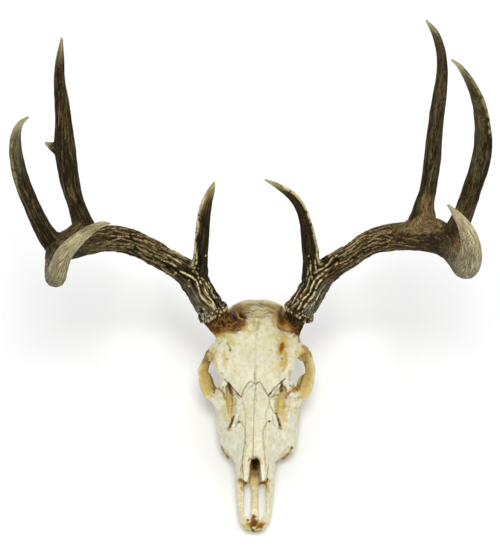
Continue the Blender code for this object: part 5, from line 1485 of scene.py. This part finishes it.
def lay_bone(skin, paint, dips):
    """Clean bone with its wide, faint stains, painted shade in its hollows and painted highlight on its
    ridges.
    """
    middling, large = skin.hollow(40), skin.hollow(240)
    paint.lay(BONE_WHITE, skin.cloud(24, 61, -0.35, 0.5) * 0.55)
    paint.lay((0.63, 0.645, 0.50), skin.cloud(13, 62, 0.0, 0.55) * 0.5)
    paint.lay((0.745, 0.765, 0.62), fade(skin.back, 136, 120) * fade(skin.side, 12, 18) * 0.6)
    paint.lay(BONE_YELLOW, fade(rough(skin.points, 17, 63) + middling * 0.5, 0.12, 0.75) * 0.5)
    paint.lay(BONE_YELLOW, fade(middling, 0.15, 1.1) * 0.55)
    stained = fade(skin.back, 150, 178) * fade(skin.up, 60, 80)
    paint.lay((0.60, 0.53, 0.20), stained * skin.cloud(9, 74, 0.0, 0.5) * 0.5)
    paint.lay((0.46, 0.42, 0.16), stained * skin.cloud(4.5, 75, 0.25, 0.6) * 0.4)
    cheeks = fade(skin.back, 132, 116) * fade(skin.side, 10, 16)
    paint.lay((0.82, 0.82, 0.74), cheeks * skin.cloud(7, 76, 0.1, 0.6) * 0.6)
    paint.lay((0.66, 0.60, 0.34), cheeks * skin.cloud(8, 77, 0.15, 0.6) * 0.5)
    paint.lay((0.52, 0.54, 0.46), cheeks * skin.cloud(5, 78, 0.25, 0.6) * 0.4)
    # Painted shade and painted highlight, together with the bone's stain: tan in the hollows, large and
    # small, and whiter on the ridges.
    paint.lay(BONE_TAN, fade(large, 0.7, 3.2) * 0.5)
    paint.lay(BONE_WHITE, fade(dips, -0.02, -0.22) * 0.55)
    paint.lay(BONE_TAN, fade(dips, 0.05, 0.3) * 0.5)
    below = fade(skin.up, 34, 8) * fade(skin.back, 150, 190)
    paint.lay(BONE_TAN, below * skin.cloud(12, 64, -0.4, 0.3) * 0.45)
    paint.lay(BONE_TAN, fade(skin.back, 225, 255) * 0.3)


def lay_hollows(skin, paint):
    """The orbits, the hollows behind the pedicles and the nose, with painted shade deep in the orbits and
    the nose.
    """
    lit = skin.evened(skin.seen, 10)
    paint.lay(WALL, skin.orbit * (0.2 + 0.7 * fade(lit, 0.1, 0.6)))
    # Painted shade: the brown patches of the orbits are a little heavier where the viewer sees less of
    # them.
    paint.lay(BONE_BROWN, skin.orbit * skin.cloud(9, 65, 0.1, 0.7) * (0.45 - 0.1 * lit))
    behind = skin.channel(BEHIND_PEDICLES, 17) * skin.cloud(5, 79, -0.45, 0.3)
    paint.lay((0.30, 0.185, 0.065), behind * 0.65)
    # The nose's inside is ochre, darker brown higher in the picture; the black deep inside is painted
    # shade.
    paint.lay((0.72, 0.52, 0.21), skin.nose * 0.85)
    paint.lay((0.44, 0.26, 0.08), skin.nose * fade(skin.py, 476, 465) * 0.8)
    paint.lay(BLACK, skin.nose * fade(skin.back, 76, 96) * 0.92)


def lay_crest_and_pedicles(skin, paint):
    """The stained, cracked bone between and under the antlers."""
    crest = blend((0.36, 0.27, 0.075), (0.63, 0.51, 0.19), skin.cloud(6, 66, 0, 0.5))
    paint.lay(crest, skin.crest * 0.8)
    crack = peak(rough(skin.points, 6, 56), 0.06) + peak(rough(skin.points, 3.2, 67), 0.05) * 0.6
    paint.lay(BONE_BROWN, np.clip(crack, 0, 1) * skin.crest * 0.45)
    brown = blend((0.10, 0.05, 0.016), (0.26, 0.13, 0.035), skin.cloud(5, 68, 0, 0.6))
    brown = blend(brown, BLACK, skin.cloud(3.4, 69, 0.12, 0.5) * 0.7)
    paint.lay(brown, skin.pedicle)
    paint.lay((0.48, 0.30, 0.10), skin.pedicle_fringe * skin.cloud(4, 70, -0.3, 0.3) * 0.75)


def lay_marks(skin, paint):
    """The picture's lines and ovals, softer where they pass out of the viewer's sight."""
    far = 0.75 * fade(skin.back + skin.fray * 6, 204, 220) + 0.25 * fade(skin.back, 236, 246)
    near = 1 - 0.5 * far - 0.5 * fade(skin.back, 236, 246)
    speckled = np.clip(0.95 + skin.speck * 0.5, 0, 1)
    mottle = rough(skin.points, 2.6, 71)
    for x, y, wide, high, turn, tone, share, _ in BLOTS:
        if wide > WIDE_BLOT:
            paint.lay(tone, share * skin.blot(x, y, wide, high, turn) * 0.6)
    for route, width, tone, share, _ in STROKES:
        if width > WIDE_STAIN and tone is not WALL:
            paint.lay(OLD_STAIN, skin.stroke(route, width * 1.3) * share * near * 0.65)
    for route, width, tone, share, _ in STROKES:
        if tone is WALL:
            where = skin.stroke(route, width, 0.1)
            tones = np.array(tone) * (1 + mottle * 0.04)[:, None]
        else:
            where = skin.stroke(route, width, 0.38) * speckled
            tones = np.array(tone) ** DEEPER * (1 + mottle * (0.6 if width > 5 else 0.25))[:, None]
        tones = np.clip(tones, 0, 1)
        if width > WIDE_LINE:
            tones = blend(tones, OLD_STAIN, far)
            where = where * near
        paint.lay(tones, share * where)
    for x, y, wide, high, turn, tone, share, _ in BLOTS:
        if wide <= WIDE_BLOT:
            paint.lay(np.array(tone) ** DEEPER, share * near * speckled * skin.blot(x, y, wide, high, turn))


def opened(skin, tree):
    """1 where a point about the nose faces open space and 0 deep in a hollow, by looking out from it."""
    rays = unit(np.random.default_rng(11).normal(size=(LOOKS_OUT, 3)))
    result = np.ones(len(skin.points))
    starts = skin.points + skin.normals * OPEN_START
    side, front, back, up = ABOUT_NOSE
    for i in np.nonzero((skin.side < side) & (skin.back > front) & (skin.back < back) & (skin.up > up))[0]:
        outward = [ray for ray in rays if skin.normals[i].dot(ray) > 0.15]
        clear = [tree.ray_cast(Vector(starts[i]), Vector(ray), OPEN_LENGTH)[0] is None for ray in outward]
        result[i] = sum(clear) / max(len(clear), 1)
    return skin.evened(result, 4)


def warped(points):
    """The places moved about a little, so that the seams between them wander."""
    ways = [rough(points, 5.5, seed) * 1.1 + rough(points, 2.2, seed + 1) * 0.45 for seed in (81, 83, 85)]
    return points + np.stack(ways, axis=1)


def build_skull():
    """Shapes and paints the skull, and parts it into its bones."""
    shapes = [merged_copy(node) for node in SKULL_NODES]
    trees = [tree_of(shape) for shape in shapes]
    whole = joined_skull(shapes)
    skin = Surface(whole)
    skin.look()
    skin.outside = opened(skin, tree_of(whole))
    owners, seam = nearest_bones(warped(skin.points), trees)
    zones(skin)
    sculpt_skull(skin, seam)
    skin.settle()
    paint_skull(skin, seam)
    return part_bones(whole, owners)


def part_bones(whole, owners):
    """Cuts the painted surface into one object for each bone."""
    mesh = whole.data
    corners = np.empty(len(mesh.polygons) * 4, np.int32)
    mesh.loops.foreach_get("vertex_index", corners)
    faces = corners.reshape(-1, 4)
    points = points_of(whole)
    stored = {}
    for name, field, width in (("tint", "color", 4), ("pores", "value", 1), ("polish", "value", 1)):
        flat = np.empty(len(points) * width, np.float32)
        mesh.attributes[name].data.foreach_get(field, flat)
        stored[name] = flat.reshape(-1, width) if width > 1 else flat
    bones = []
    for number, node in enumerate(SKULL_NODES):
        own = faces[owners[faces[:, 0]] == number]
        used, renumbered = np.unique(own, return_inverse=True)
        piece = bpy.data.meshes.new(node)
        piece.from_pydata((points[used] * MM).tolist(), [], renumbered.reshape(-1, 4).tolist())
        piece.polygons.foreach_set("use_smooth", np.ones(len(own), bool))
        bone = linked(f"{node}_bone", piece)
        for name, values in stored.items():
            put_values(bone, name, values[used])
        bones.append(bone)
    bpy.data.objects.remove(whole)
    return bones


def bone_finish(name):
    finish = Finish(name)
    place = finish.place()
    tint, pores = finish.stored("tint"), finish.stored("pores", "Fac")
    polish = finish.stored("polish", "Fac")
    clouds = finish.noise(place, 260.0, 4.0, 0.6)
    dust = finish.noise(place, 1300.0, 2.0, 0.5)
    cells = finish.node("ShaderNodeTexVoronoi", {}, {"Vector": place, "Scale": 620.0, "Randomness": 1.0})
    dots = finish.spread(cells, 0.30, 0.12) * finish.spread(clouds, 0.45, 0.6) * pores
    worn = finish.toned(finish.spread(clouds, 0.44, 0.62, 0.0, 0.42), tint, tint, (0.80, 0.72, 0.52))
    fresh = finish.toned(finish.spread(clouds, 0.52, 0.34, 0.0, 0.35), worn, tint, (1.1, 1.1, 1.08))
    pitted = finish.toned(dots * 0.75, fresh, tint, (0.34, 0.24, 0.13))
    grainy = finish.spread(clouds, 0.3, 0.7) * 0.45 + finish.spread(dust, 0.3, 0.7) * 0.2
    return finish.shade(
        Base_Color=pitted,
        Specular_IOR_Level=0.0,
        Coat_Weight=finish.spread(polish, 0.0, 0.7, 0.0, 0.35),
        Coat_Roughness=0.42,
        Coat_IOR=1.4,
        Roughness=0.62 - polish * 0.2,
        Normal=finish.bump(grainy - dots * 0.5 + 0.3, 0.3),
    )


# ---- cheek teeth --------------------------------------------------------------------------------
ENAMEL = (0.78, 0.70, 0.45)
DENTINE = (0.40, 0.25, 0.11)
HOLLOW = (0.05, 0.03, 0.015)
TARTAR = (0.17, 0.115, 0.04)
# each tooth: how far back its middle is, its length, how far across, its width, how high it ends, its turn
TEETH = [
    (95.4, 8.0, 17.8, 6.8, 2.6, 12), (104.2, 9.6, 20.3, 8.0, 1.2, 17), (114.5, 10.2, 24.4, 9.2, 0.4, 20),
    (126.5, 12.4, 28.6, 11.4, 0, 13), (140.0, 13.3, 30.7, 12.2, 0, 5), (154.0, 13.3, 31.0, 12.0, 0, -2),
]
TOOTH_TOP = 18.0  # the height over the floor at which the roots end, inside the jaw
AROUND = 44
CHEWED = (0.12, 0.24, 0.36, 0.47, 0.58, 0.68, 0.78, 0.88, 0.96, 1.0)  # rings of the chewing face
WALLS = (1.2, 2.6, 4.4, 6.6, 8.8, 10.6, 12.2, 14.0, TOOTH_TOP)  # heights of the rings of the sides
BASIN, OUTER_RISE = 2.4, 0.7  # how deep the face is hollowed, and how much higher one edge is
# the crescents of a lobe: middle across, radius
CRESCENTS = ((0.12, 0.62), (1.08, 0.60))


def ridges_of(lobes, u, v):
    """How near a place on the chewing face, from -1 to 1 each way, is to an enamel crescent."""
    nearest = np.full(u.shape, FAR_AWAY)
    for middle in lobes:
        for centre, radius in CRESCENTS:
            arc = np.hypot((u - middle) * len(lobes) * 0.62, v - centre)
            nearest = np.minimum(nearest, np.abs(arc - radius) + 0.6 * (v > centre))
    return peak(nearest, 0.13)


def tooth_rings(side, number, low):
    """The rings of a tooth from -1 to 1 each way, with their heights and colours."""
    lobes = (0.0,) if number < 3 else (-0.5, 0.5)
    turns = np.arange(AROUND) * math.tau / AROUND
    edge_u = np.sign(np.cos(turns)) * np.abs(np.cos(turns)) ** 0.6
    edge_v = np.sign(np.sin(turns)) * np.abs(np.sin(turns)) ** 0.6
    outer = 0.10 * np.cos(edge_u * math.pi * 2 * len(lobes))
    inner = 0.16 * np.cos(edge_u * math.pi * len(lobes) + math.pi * (len(lobes) - 1))
    flutes = np.where(edge_v > 0, outer, inner)
    rings, tones = [], []
    for share in CHEWED:
        u, v = edge_u * share, edge_v * (share + flutes * share**3)
        ridge, rim = ridges_of(lobes, u, v), fade(share, 0.85, 0.97)
        height = BASIN * (1 - np.maximum(ridge, rim * 0.8)) + OUTER_RISE * fade(v, 0.3, -1.0)
        height += 0.25 * rough(np.stack((u * 3, v * 3, 0 * u + number + side * 9), axis=1), 1.0, 91)
        rings.append((u, v, low + np.maximum(height, 0.0)))
        tone = blend(DENTINE, HOLLOW, fade(height, 1.3, 2.4) * 0.9)
        tones.append(blend(tone, ENAMEL, np.maximum(ridge, rim)))
    for height in WALLS:
        taper = 1.03 - 0.012 * height
        u, v = edge_u * taper, edge_v * (1 + flutes) * taper
        rings.append((u, v, np.full(AROUND, low + height * (1 - low / TOOTH_TOP))))
        spots = np.stack((u * 4, v * 4, 0 * u + height + number * 7 + side), axis=1)
        stain = fade(rough(spots, 1.6, 92) + (height - 6) * 0.12, -0.1, 0.5)
        tones.append(blend(ENAMEL, TARTAR, stain * 0.8))
    return rings, np.vstack(tones)


def tooth(side, number, back, length, across, width, low, turn):
    """One cheek tooth: crescents on its chewing face, fluted sides, and a root inside the jaw."""
    rings, tones = tooth_rings(side, number, low)
    cos, sin = math.cos(math.radians(turn)), math.sin(math.radians(turn))
    places = []
    for u, v, height in rings:
        outward, onward = v * width / 2, u * length / 2
        places.append(world(0, 0, 0) + np.stack((
            side * (across + outward * cos + onward * sin), back + onward * cos - outward * sin, height
        ), axis=1))
    made = tube("tooth", places)
    put_tint(made, tones)
    return made


def tooth_finish(name):
    finish = Finish(name)
    place = finish.place()
    tint = finish.stored("tint")
    clouds = finish.noise(place, 700.0, 3.0, 0.6)
    stained = finish.toned(finish.spread(clouds, 0.48, 0.66, 0.0, 0.5), tint, tint, (0.55, 0.42, 0.26))
    return finish.shade(
        Base_Color=stained,
        Specular_IOR_Level=0.45,
        Roughness=finish.spread(clouds, 0.3, 0.7, 0.28, 0.5),
        Normal=finish.bump(clouds, 0.15),
    )


# ---- the model ----------------------------------------------------------------------------------
ANTLER_FINISH = antler_finish("antler bark")
for side, _ in SIDES:
    grown_antler = antler(side)
    grown_antler.data.materials.append(ANTLER_FINISH)
    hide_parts(*[f"antler_{side}_{part}" for part in ANTLER_NODES])
    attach(grown_antler, "root")

BONE_FINISH = bone_finish("dry bone")
for node, bone in zip(SKULL_NODES, build_skull()):
    bone.data.materials.append(BONE_FINISH)
    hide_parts(node)
    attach(bone, "root")

TOOTH_FINISH = tooth_finish("enamel")
for word, side in SIDES:
    row = [tooth(side, number, *sizes) for number, sizes in enumerate(TEETH)]
    teeth = join(f"teeth_{word}", row)
    teeth.data.materials.append(TOOTH_FINISH)
    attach(teeth, "root")


# ---- floor, light and camera, in metres and watts -----------------------------------------------
LIT_PLACE = Vector((0, 0, 0.1))  # the middle of the skull
# each light: name, place, size, power
LIGHTS = [
    ("key light", (0.1, -0.9, 2.4), 0.9, 31),
    ("right light", (1.7, -0.6, 1.6), 1.2, 8),
    ("left light", (-1.7, -0.6, 1.6), 1.2, 8),
    ("back light", (0.3, 1.7, 1.8), 1.4, 10),
]
SKY_GLOW = 0.46


def soft_light(name, place, size, power):
    """A square light that faces the skull."""
    lamp = bpy.data.lights.new(name, "AREA")
    lamp.size = size
    lamp.energy = power
    thing = linked(name, lamp)
    thing.location = place
    thing.rotation_euler = (LIT_PLACE - Vector(place)).to_track_quat("-Z", "Y").to_euler()


bpy.ops.object.select_all(action="DESELECT")
bpy.ops.mesh.primitive_plane_add(size=12, location=(0, 0, 0))
floor = bpy.context.active_object
floor.name = "floor"
floor.data.materials.append(Finish("pale floor").shade(Base_Color=(0.97, 0.97, 0.97, 1), Roughness=0.8))

for light in LIGHTS:
    soft_light(*light)
sky = bpy.data.worlds.new("studio")
bpy.context.scene.world = sky
sky.use_nodes = True
glow = sky.node_tree.nodes["Background"].inputs
glow["Color"].default_value = (1, 1, 1, 1)
glow["Strength"].default_value = SKY_GLOW

lens = bpy.data.cameras.new("camera")
lens.sensor_width = SENSOR
lens.lens = SENSOR * (VIEW_DISTANCE / PIXEL) / PICTURE[1]
lens.clip_end = 30
camera = linked("camera", lens)
camera.location = Vector((VIEW_CENTRE + TO_VIEWER * VIEW_DISTANCE) * MM)
camera.rotation_euler = Matrix((VIEW_RIGHT, VIEW_UP, TO_VIEWER)).transposed().to_euler()
bpy.context.scene.camera = camera
bpy.context.scene.view_settings.view_transform = "Standard"
